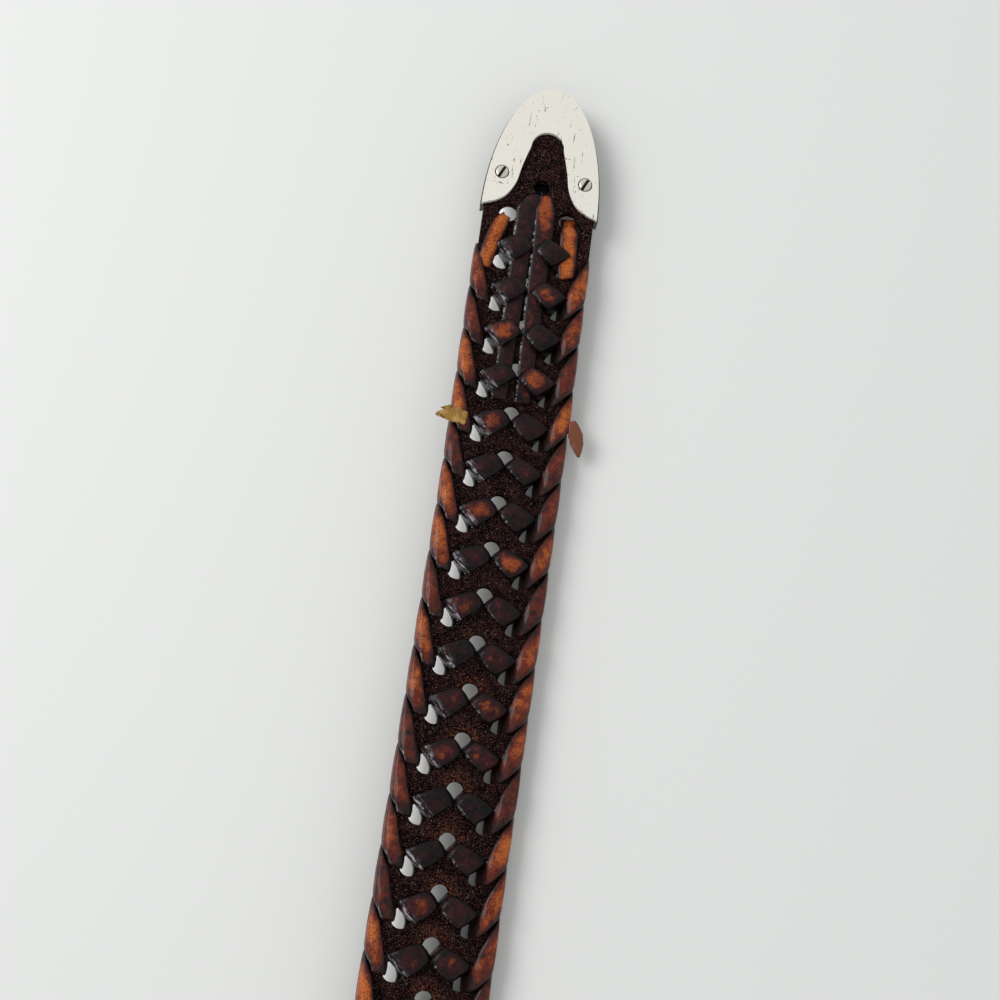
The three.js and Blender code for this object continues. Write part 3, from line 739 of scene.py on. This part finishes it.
front_low = STRAP_LOW - SEAT_GAP - PLATE_THICK
points, faces = sheet_mesh([tip_outline()], front_low, front_low + PLATE_THICK)
rim_inner = ellipse_arc(TIP_HALF - RIM_WALL, TIP_LENGTH - RIM_WALL)[::-1]
rim_ring = np.concatenate([ellipse_arc(TIP_HALF, TIP_LENGTH), rim_inner])
rim_points, rim_faces = sheet_mesh([rim_ring], front_low + PLATE_THICK, STRAP_HIGH + RIM_OVERLAP)
faces += [[v + len(points) for v in f] for f in rim_faces]
points = np.concatenate([points, rim_points])
front_shell = make_piece("front_shell", lay(points), faces, "tip_metal", "tip_front_shell", smooth=False)
finish_sheet(front_shell, SHELL_BEVEL)

# %% [markdown]
# A slotted screw head is a low dome cut by a straight slot. The disc is swept in columns across the
# slot, with two columns almost on each other at the slot's sides, which keeps its edges crisp. The
# points in the slot are marked, and the metal is painted black there as painted shade.

# %% Screws
SLOT_HALF = 0.42
SLOT_DEPTH = 0.9
SLOT_TURN = math.radians(25)
SLOT_SIDE = 0.02
HEAD_PROUD = 0.3
HEAD_ROUND = 0.25
HEAD_ROWS = 25
SIDE_COLUMNS = 9
LAST_COLUMN = 0.999


def screw_mesh(x, radius):
    """Head: height falls from the middle as a shallow dome, drops in the slot; then a skirt down."""
    side = np.linspace(SLOT_HALF, radius * LAST_COLUMN, SIDE_COLUMNS)
    columns = np.concatenate([-side[::-1], [SLOT_SIDE - SLOT_HALF, SLOT_HALF - SLOT_SIDE], side])
    c, v = np.meshgrid(columns, np.linspace(-1, 1, HEAD_ROWS))
    w = v * np.sqrt(radius ** 2 - c ** 2)
    r = np.hypot(c, w) / radius
    head = plate_top + HEAD_PROUD - HEAD_ROUND * r ** 4
    head = np.where(np.abs(c) < SLOT_HALF, head - SLOT_DEPTH, head)
    cos, sin = math.cos(SLOT_TURN), math.sin(SLOT_TURN)
    flat = np.stack([c * cos - w * sin, c * sin + w * cos], -1) + (x, SCREW_S)
    top = np.concatenate([flat, head[..., None]], -1).reshape(-1, 3)
    rows, cols = c.shape
    edge = np.concatenate([
        np.arange(cols), np.arange(1, rows) * cols + cols - 1,
        (rows - 1) * cols + np.arange(cols - 2, -1, -1), np.arange(rows - 2, 0, -1) * cols])
    skirt = top[edge].copy()
    skirt[:, 2] = plate_low
    faces = grid_quads(rows, cols).tolist()
    n = len(edge)
    faces += [[edge[(k + 1) % n], edge[k], len(top) + k, len(top) + (k + 1) % n] for k in range(n)]
    faces.append([len(top) + k for k in range(n)])
    groove = np.concatenate([(np.abs(c) < SLOT_HALF).ravel(), np.zeros(n)])
    return np.concatenate([top, skirt]), faces, groove


for label, x in (("left", -SCREW_X), ("right", SCREW_X)):
    points, faces, groove = screw_mesh(x, SCREW_RADIUS)
    screw = make_piece(f"screw_{label}", lay(points), faces, "screw_metal", f"tip_screw_{label}",
                       smooth=False, groove=groove)
    finish_sheet(screw)

# %% [markdown]
# Two torn thong ends stick out at the edges: a short frayed tan one on the left and a longer flat one
# on the right. Loose fibres would take thousands of hairs for a few millimetres, so each end is a thin
# curled strip whose points are shaken by chance, and whose far end is drawn out in rags.

# %% Torn ends
TornEnd = namedtuple("TornEnd", "label root tip half_root half_tip belly thick rag")
TORN_ENDS = [
    TornEnd("left", (-11.6, 96.4, BACK_LEVEL + 1.5), (-18.2, 94.9, 5.0), 1.6, 1.3, 0.6, 0.45, 1.1),
    TornEnd("right", (15.6, 91.6, 5.4), (18.7, 100.0, 3.6), 0.9, 0.5, 1.2, 0.4, 0.3),
]
END_RINGS = 18
END_SIDES = 12
END_CURL = 0.5
EDGE_SHAKE = 0.05
SKIN_SHAKE = 1 / 8


def torn_strip(end):
    """A strip from root to tip whose section narrows, curls up and ends in seeded ragged points."""
    t = np.linspace(0, 1, END_RINGS)[:, None]
    root, tip = np.array(end.root), np.array(end.tip)
    middle = root * (1 - t) + tip * t
    middle[:, 2] += END_CURL * np.sin(np.pi * t[:, 0])
    along = (tip - root) / np.linalg.norm(tip - root)
    across = np.cross(along, (0, 0, 1))
    across /= np.linalg.norm(across)
    angle = 2 * np.pi * np.arange(END_SIDES) / END_SIDES
    a = np.sign(np.cos(angle)) * np.abs(np.cos(angle)) ** 0.5
    half = end.half_root + (end.half_tip - end.half_root) * t + end.belly * np.sin(np.pi * t)
    half += rng.normal(0, EDGE_SHAKE, t.shape)
    points = middle[:, None] + half[:, None] * a[None, :, None] * across
    points += end.thick * np.sin(angle)[None, :, None] * (0, 0, 1)
    points += rng.normal(0, SKIN_SHAKE * end.rag, points.shape)
    ragged = rng.uniform(-end.rag, end.rag, END_SIDES)
    points += (t ** 6)[..., None] * ragged[None, :, None] * along
    return points.reshape(-1, 3), tube_faces(END_RINGS, END_SIDES)


for end in TORN_ENDS:
    points, faces = torn_strip(end)
    piece = make_piece(f"torn_end_{end.label}", lay(points), faces, "torn_end", f"lace_end_{end.label}")
    finish_sheet(piece)

# %% [markdown]
# A material is a graph of nodes. A small class keeps the calls short: each method adds one node, takes
# numbers, colours or the sockets of other nodes, and gives back the socket that the next node needs.

# %% Shader helpers
def srgb(hex_colour):
    """A web colour as linear RGB."""
    channels = [int(hex_colour[k:k + 2], 16) / 255 for k in (0, 2, 4)]
    return tuple(c / 12.92 if c <= 0.04045 else ((c + 0.055) / 1.055) ** 2.4 for c in channels)


class Graph:
    """Short ways to add nodes to one tree and to link them."""

    def __init__(self, tree):
        self.tree = tree

    def feed(self, socket, value):
        """Link a socket to another one, or write a number or a colour on it."""
        if isinstance(value, bpy.types.NodeSocket):
            self.tree.links.new(value, socket)
        elif socket.type == "RGBA":
            socket.default_value = (*value, 1)
        else:
            socket.default_value = value

    def add(self, kind, inputs=None, **settings):
        """A node with its settings, and its inputs by name or number; group nodes have their full names."""
        node = self.tree.nodes.new(kind if "Group" in kind else f"ShaderNode{kind}")
        for key, value in settings.items():
            setattr(node, key, value)
        for key, value in (inputs or {}).items():
            self.feed(node.inputs[key], value)
        return node

    def maths(self, operation, a, b):
        return self.add("Math", {0: a, 1: b}, operation=operation).outputs[0]

    def plus(self, a, b):
        return self.maths("ADD", a, b)

    def times(self, a, b):
        return self.maths("MULTIPLY", a, b)

    def step(self, value, start, end, low=0.0, high=1.0):
        """From low to high while the value goes from start to end, and level outside."""
        span = {"Value": value, "From Min": start, "From Max": end, "To Min": low, "To Max": high}
        return self.add("MapRange", span).outputs["Result"]

    def mix(self, factor, a, b):
        """Colour a where the factor is 0, colour b where it is 1."""
        inputs = {"Factor": factor, "A": a, "B": b}
        return self.add("Mix", inputs, data_type="RGBA").outputs["Result"]

    def noise(self, vector, scale, detail, rough):
        inputs = {"Vector": vector, "Scale": scale, "Detail": detail, "Roughness": rough}
        return self.add("TexNoise", inputs).outputs["Fac"]

    def object_place(self):
        return self.add("TexCoord").outputs["Object"]

    def attribute(self, name, output="Fac"):
        return self.add("Attribute", attribute_name=name).outputs[output]

    def bump(self, height, distance, strength):
        inputs = {"Height": height, "Distance": distance, "Strength": strength}
        return self.add("Bump", inputs).outputs["Normal"]


def new_material(name):
    """A material, its graph and the inputs of its shader."""
    material = bpy.data.materials.new(name)
    material.use_nodes = True
    return material, Graph(material.node_tree), material.node_tree.nodes["Principled BSDF"].inputs


def new_group(name, inputs, outputs):
    """An empty node group with named sockets: its graph, the sockets inside it to read and to feed."""
    tree = bpy.data.node_groups.new(name, "ShaderNodeTree")
    for in_out, sockets in (("INPUT", inputs), ("OUTPUT", outputs)):
        for socket, kind in sockets.items():
            tree.interface.new_socket(socket, in_out=in_out, socket_type=f"NodeSocket{kind}")
    graph = Graph(tree)
    return graph, graph.add("NodeGroupInput").outputs, graph.add("NodeGroupOutput").inputs


print("web colour C8C4CA in linear RGB:", tuple(round(c, 3) for c in srgb("C8C4CA")))

# %% [markdown]
# Antiqued leather is dyed light, then rubbed with a darker finish that stays in its pores and along its
# cut edges. All thongs share this, so it is one node group with their own colours. The tone of a point
# says how much of the finish was rubbed off its turn, with the painted shade along the turn on top.
# The middle of each strip is lighter and its sides darker, partly from the finish and partly painted
# light on the top and painted shade at the sides. Edges with a glint get broken pale lines, which are
# painted highlights.

# %% Antiqued leather group
FINE_SCALE = 2600
LUMP_SCALE = 700
BLOTCH_SCALE = 420
BLOTCH_LEVEL = 0.42
TONE_SHARE = 0.72
BLOTCH_SHARE = 1.3
DARK_TO_MIDDLE = (0.10, 0.45)
MIDDLE_TO_BRIGHT = (0.45, 0.80)
PORES_PER_MM = 2.6
PORE_RADII = (0.10, 0.34)
GRAIN_LEVELS = (0.49, 0.62)
RIM_POWER = 2.5
CUT_POWER = 4.5
CREASE_STRETCH = (1.5, 0.3, 1)
CREASE_LEVELS = (0.48, 0.54)
PATCH_LEVELS = (0.44, 0.54)
GLINT_POWER = 3.0
# the colour of the painted highlights
PAINTED_GLINT_COLOUR = srgb("C8C4CA")


def leather_group():
    """Mottled by turn and painted shade; lighter middle, darker cut edges, partly painted; pores, creases,
    painted highlights.
    """
    inputs = dict.fromkeys(("Dark", "Middle", "Bright", "Edge"), "Color")
    inputs.update(Gloss="Float", Wrinkles="Float")
    outputs = {"Colour": "Color", "Roughness": "Float", "Height": "Float"}
    graph, given, made = new_group("antiqued leather", inputs, outputs)
    place = graph.object_place()
    strand = graph.attribute("strand", "Vector")
    rim = graph.attribute("rim")
    fine = graph.noise(place, FINE_SCALE, 3, 0.6)
    lumps = graph.noise(place, LUMP_SCALE, 3, 0.6)
    blotch = graph.noise(place, BLOTCH_SCALE, 5, 0.65)

    # lighter in the middle of the strip: partly the finish rubbed off the top, partly painted light
    in_the_middle = graph.maths("SUBTRACT", 1.0, graph.maths("POWER", rim, RIM_POWER))
    rubbed_and_painted_light = graph.times(graph.times(graph.attribute("tone"), in_the_middle), TONE_SHARE)
    mottle = graph.times(graph.maths("SUBTRACT", blotch, BLOTCH_LEVEL), BLOTCH_SHARE)
    light = graph.plus(rubbed_and_painted_light, mottle)
    darker = graph.mix(graph.step(light, *DARK_TO_MIDDLE), given["Dark"], given["Middle"])
    colour = graph.mix(graph.step(light, *MIDDLE_TO_BRIGHT), darker, given["Bright"])

    pores = graph.add("TexVoronoi", {"Vector": strand, "Scale": PORES_PER_MM})
    pits = graph.step(pores.outputs["Distance"], *PORE_RADII, 1.0, 0.0)
    grains = graph.step(fine, *GRAIN_LEVELS)
    spots = graph.maths("MAXIMUM", graph.times(pits, 0.55), graph.times(grains, 0.7))
    colour = graph.mix(spots, colour, given["Dark"])
    # darker at the sides: the finish along the cut edges, and painted shade at the strip's sides
    cut = graph.times(graph.maths("POWER", rim, CUT_POWER), 0.95)
    colour = graph.mix(cut, colour, given["Edge"])

    stretch = graph.add("Mapping", {"Vector": strand, "Scale": CREASE_STRETCH})
    crease = graph.noise(stretch.outputs["Vector"], 1.0, 3, 0.6)
    # painted highlights: broken pale lines where the glint is high
    near_cut = graph.maths("POWER", graph.attribute("glint"), GLINT_POWER)
    patches = graph.step(lumps, *PATCH_LEVELS, 0.15, 1.0)
    broken = graph.times(graph.step(crease, *CREASE_LEVELS), patches)
    pale = graph.times(near_cut, broken)
    graph.feed(made["Colour"], graph.mix(pale, colour, PAINTED_GLINT_COLOUR))

    height = graph.plus(graph.times(lumps, 0.9), graph.times(crease, given["Wrinkles"]))
    height = graph.plus(height, graph.times(fine, 0.9))
    graph.feed(made["Height"], graph.maths("SUBTRACT", height, graph.times(pits, 0.3)))
    graph.feed(made["Roughness"], graph.plus(given["Gloss"], graph.times(fine, 0.35)))
    return graph.tree


antiqued_leather = leather_group()
print("the leather group has", len(antiqued_leather.nodes), "nodes")

# %% [markdown]
# The edge laces are orange brown, the centre laces dark burgundy, and the torn ends show raw fibres, tan
# on one and reddish on the other. The shine is low, because a strong one veils dark leather with grey.

# %% Leathers
LEATHER_BUMP = 0.00035
LEATHER_BUMP_STRENGTH = 0.7
COAT_ROUGHNESS = 0.08


def thong_leather(name, dark, middle, bright, edge, gloss, wrinkles, shine):
    """The antiqued leather group with its own colours, on a shader with a thin coat."""
    material, graph, shader = new_material(name)
    inputs = {"Dark": srgb(dark), "Middle": srgb(middle), "Bright": srgb(bright), "Edge": srgb(edge),
              "Gloss": gloss, "Wrinkles": wrinkles}
    leather = graph.add("ShaderNodeGroup", inputs, node_tree=antiqued_leather).outputs
    graph.feed(shader["Base Color"], leather["Colour"])
    graph.feed(shader["Roughness"], leather["Roughness"])
    normal = graph.bump(leather["Height"], LEATHER_BUMP, LEATHER_BUMP_STRENGTH)
    graph.feed(shader["Normal"], normal)
    graph.feed(shader["Specular IOR Level"], shine)
    graph.feed(shader["Coat Weight"], shine)
    graph.feed(shader["Coat Roughness"], COAT_ROUGHNESS)
    return material


edge_leather = thong_leather(
    "glossy orange-brown leather", "1C0606", "70240C", "C0621E", "160605", 0.22, 0.3, 0.2)
centre_leather = thong_leather(
    "dark burgundy leather", "060203", "3A1216", "A04A20", "050202", 0.12, 0.6, 0.14)
torn_leather = thong_leather(
    "torn raw leather", "94703A", "D8B878", "F0DCA8", "94703A", 0.7, 0.6, 0.05)
torn_red = thong_leather(
    "torn brown leather", "7A4836", "A87058", "B07A5C", "3A1C14", 0.5, 0.6, 0.15)
print("leathers:", edge_leather.name, "and", centre_leather.name)

# %% [markdown]
# Suede and old metal have nothing in common but fine specks: dust and hairs on one, scratches and
# pits on the other. Both are noise cut off between two levels, so the specks are one node group.

# %% Specks group
SPECKS_INPUTS = ("Scale", "Detail", "Roughness", "Start", "End")
specks_sockets = {"Vector": "Vector", **dict.fromkeys(SPECKS_INPUTS, "Float")}
specks_graph, given, made = new_group("specks", specks_sockets, {"Noise": "Float", "Mask": "Float"})
grain = specks_graph.noise(*(given[key] for key in ("Vector", "Scale", "Detail", "Roughness")))
specks_graph.feed(made["Noise"], grain)
specks_graph.feed(made["Mask"], specks_graph.step(grain, given["Start"], given["End"]))


def specks(graph, vector, *numbers):
    """The specks group placed in a graph: its noise and its mask."""
    inputs = {"Vector": vector, **dict(zip(SPECKS_INPUTS, numbers))}
    outputs = graph.add("ShaderNodeGroup", inputs, node_tree=specks_graph.tree).outputs
    return outputs["Noise"], outputs["Mask"]


print("the specks group has", len(specks_graph.tree.nodes), "nodes")

# %% [markdown]
# The strap lies with its flesh side up: worn suede, nearly black brown, with reddish flecks, pale dust
# and orange brown hairs where the mesh has tufts. It hardly reflects, and a strong fine bump makes nap.

# %% Suede
def suede_material():
    """Broad dark patches under flecks, dust and hairs."""
    material, graph, shader = new_material("dark suede")
    place = graph.object_place()
    broad = graph.noise(place, 380, 3, 0.6)
    fleck = graph.noise(place, 2900, 2, 0.5)
    dust, dusty = specks(graph, place, 5200, 2, 0.6, 0.62, 0.68)
    _, hairs = specks(graph, place, 1900, 4, 0.7, 0.54, 0.62)
    ground = graph.mix(graph.step(broad, 0.35, 0.65), srgb("080304"), srgb("1E0D0D"))
    patchy = graph.plus(fleck, graph.times(graph.maths("SUBTRACT", broad, 0.5), 0.4))
    colour = graph.mix(graph.step(patchy, 0.58, 0.70), ground, srgb("4E2A2A"))
    colour = graph.mix(dusty, colour, srgb("A89082"))
    colour = graph.mix(graph.times(graph.attribute("tuft"), hairs), colour, srgb("8E4E34"))
    graph.feed(shader["Base Color"], colour)
    graph.feed(shader["Roughness"], 0.95)
    graph.feed(shader["Specular IOR Level"], 0.02)
    graph.feed(shader["Normal"], graph.bump(graph.plus(fleck, dust), 0.0004, 0.9))
    return material


suede = suede_material()
print("suede has", len(suede.node_tree.nodes), "nodes")

# %% [markdown]
# The tip is old silver-coloured metal, bright and satin, with small dark pits and long thin scratches,
# which are noise stretched along one direction. A fully metallic shader would mirror the grey walls, so
# it is only partly metallic. In the screw slots it is painted black, which is painted shade.

# %% Metal
SCRATCH_TURN = (0, 0, 0.35)
SCRATCH_STRETCH = (1300, 170, 300)


def silver_material(name, base, mark_strength):
    """Bright metal under dark scratches and pits, painted black in the screw slot as painted shade."""
    material, graph, shader = new_material(name)
    place = graph.object_place()
    mapping = {"Vector": place, "Rotation": SCRATCH_TURN, "Scale": SCRATCH_STRETCH}
    stretched = graph.add("Mapping", mapping).outputs["Vector"]
    _, scratches = specks(graph, stretched, 1.0, 4, 0.65, 0.62, 0.66)
    _, pits = specks(graph, place, 900, 3, 0.6, 0.67, 0.71)
    marks = graph.times(graph.maths("MAXIMUM", scratches, pits), mark_strength)
    # painted shade: black in the screw slot
    marks = graph.maths("MAXIMUM", marks, graph.attribute("groove"))
    graph.feed(shader["Base Color"], graph.mix(marks, srgb(base), srgb("3A342B")))
    graph.feed(shader["Metallic"], 0.3)
    graph.feed(shader["Roughness"], graph.plus(0.38, graph.times(marks, 0.3)))
    graph.feed(shader["Normal"], graph.bump(graph.maths("SUBTRACT", 1.0, marks), 0.00006, 0.6))
    return material


silver = silver_material("old silver", "F6F2E6", 0.85)
# the shell under the strap: the same metal in a darker colour, which draws the darker rim round the plate
dim = silver_material("dim silver", "4E493F", 0.85)
screw_silver = silver_material("screw metal", "CFCABB", 0.7)
print("metals:", silver.name, "and", screw_silver.name)

# %% [markdown]
# Each piece gets its finish by name, in one table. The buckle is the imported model's own piece, and it
# only takes the silver.

# %% Dress the pieces
FINISHES = {"strap_leather": suede, "back_plate": silver, "front_shell": dim,
            "torn_end_left": torn_leather, "torn_end_right": torn_red}
for side in ("left", "right"):
    FINISHES[f"{side}_edge_thong"] = edge_leather
    FINISHES[f"{side}_centre_thong"] = centre_leather
    FINISHES[f"screw_{side}"] = screw_silver
dressed = [(bpy.data.objects[name], material) for name, material in FINISHES.items()]
for piece, material in [*dressed, (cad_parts["buckle"], silver)]:
    piece.data.materials.clear()
    piece.data.materials.append(material)
print("dressed", len(dressed) + 1, "pieces")

# %% [markdown]
# The belt lies on a pale floor in a bright room. The world is a soft gradient, brightest at the walls,
# because a bright ceiling would veil the dark leather. One large window on the left gives the shadows.

# %% Floor, room and window
FLOOR_SIZE = 3.0
FLOOR_COLOUR = (0.80, 0.81, 0.79)
FLOOR_ROUGHNESS = 0.6
ROOM = [
    (0.0, (0.78, 0.79, 0.80)),
    (0.5, (0.86, 0.87, 0.88)),
    (0.8, (0.48, 0.485, 0.49)),
    (1.0, (0.30, 0.30, 0.30)),
]
VIEW_CENTRE = 98.4
WINDOW_PLACE = (-0.9, 0.25, 0.95)
WINDOW_SIZE = (0.7, 0.7)
WINDOW_POWER = 9.5

half = FLOOR_SIZE / 2
floor_mesh = bpy.data.meshes.new("floor")
corners = [(-half, -half, 0), (half, -half, 0), (half, half, 0), (-half, half, 0)]
floor_mesh.from_pydata(corners, [], [(0, 1, 2, 3)])
floor = bpy.data.objects.new("floor", floor_mesh)
bpy.context.scene.collection.objects.link(floor)
pale, graph, shader = new_material("pale floor")
graph.feed(shader["Base Color"], FLOOR_COLOUR)
graph.feed(shader["Roughness"], FLOOR_ROUGHNESS)
floor_mesh.materials.append(pale)

world = bpy.data.worlds.new("studio")
bpy.context.scene.world = world
world.use_nodes = True
graph = Graph(world.node_tree)
direction = graph.add("TexCoord").outputs["Generated"]
height = graph.add("SeparateXYZ", {"Vector": direction}).outputs["Z"]
walls = graph.add("ValToRGB", {"Fac": height})
elements = walls.color_ramp.elements
while len(elements) < len(ROOM):
    elements.new(0.5)
for element, (position, colour) in zip(elements, ROOM):
    element.position = position
    element.color = (*colour, 1)
background = world.node_tree.nodes["Background"].inputs
graph.feed(background["Color"], walls.outputs["Color"])
graph.feed(background["Strength"], 1.0)


def area_light(name, place, target, size, power):
    """A rectangle of light at a place, turned to its target."""
    lamp = bpy.data.lights.new(name, "AREA")
    lamp.shape = "RECTANGLE"
    lamp.size, lamp.size_y = size
    lamp.energy = power
    o = bpy.data.objects.new(name, lamp)
    o.location = place
    o.rotation_mode = "QUATERNION"
    o.rotation_quaternion = (Vector(target) - Vector(place)).to_track_quat("-Z", "Y")
    bpy.context.scene.collection.objects.link(o)
    return o


view_y = (TIP_Y - VIEW_CENTRE) * MM
view_centre = Vector((0, view_y, 0))
area_light("window", view_centre + Vector(WINDOW_PLACE), view_centre, WINDOW_SIZE, WINDOW_POWER)
print("the view's centre lies at y =", round(view_y, 4))

# %% [markdown]
# In a real room, light gets in under the raised left edge from all sides and shows as bright dots in
# the holes. Here two thin strips of weak light under the strap do this, one for the edge holes and one
# for the middle ones. The camera doesn't see the strips themselves.

# %% Light under the raised edge
UnderLight = namedtuple("UnderLight", "label x z target_x power")
UNDER_LIGHTS = [
    UnderLight("edge", -0.0132, 0.0019, -0.006, 0.011),
    UnderLight("middle", -0.0042, 0.0014, 0.001, 0.0025),
]
UNDER_CENTRE = 137
UNDER_SIZE = (0.215, 0.003)

under_y = (TIP_Y - UNDER_CENTRE) * MM
for strip in UNDER_LIGHTS:
    place, target = (strip.x, under_y, strip.z), (strip.target_x, under_y, 0)
    under = area_light(f"light under the raised {strip.label}", place, target, UNDER_SIZE, strip.power)
    under.visible_camera = False
print(len(UNDER_LIGHTS), "lights lie under the strap")

# %% [markdown]
# The camera looks down at the tip from about 35 cm. Its direction and its upward side are stored as
# vectors, because together they fix the turn without any angles.

# %% Camera
SENSOR_WIDTH = 36.0
LENS = 50.4
CAMERA_PLACE = (-0.006907, 0.217396, 0.347839)
CAMERA_LOOK = Vector((0.02117, 0.24904, -0.96826))
CAMERA_UP = Vector((-0.15575, 0.95748, 0.24286))

camera_data = bpy.data.cameras.new("camera")
camera_data.sensor_width = SENSOR_WIDTH
camera_data.lens = LENS
camera = bpy.data.objects.new("camera", camera_data)
bpy.context.scene.collection.objects.link(camera)
camera.location = CAMERA_PLACE
right = CAMERA_LOOK.cross(CAMERA_UP).normalized()
up = right.cross(CAMERA_LOOK).normalized()
turned = np.array([right, up, -CAMERA_LOOK.normalized()]).T
camera.rotation_mode = "QUATERNION"
camera.rotation_quaternion = Matrix(turned.tolist()).to_quaternion()
bpy.context.scene.camera = camera
bpy.context.scene.view_settings.view_transform = "Standard"
print("camera with a", camera_data.lens, "mm lens")
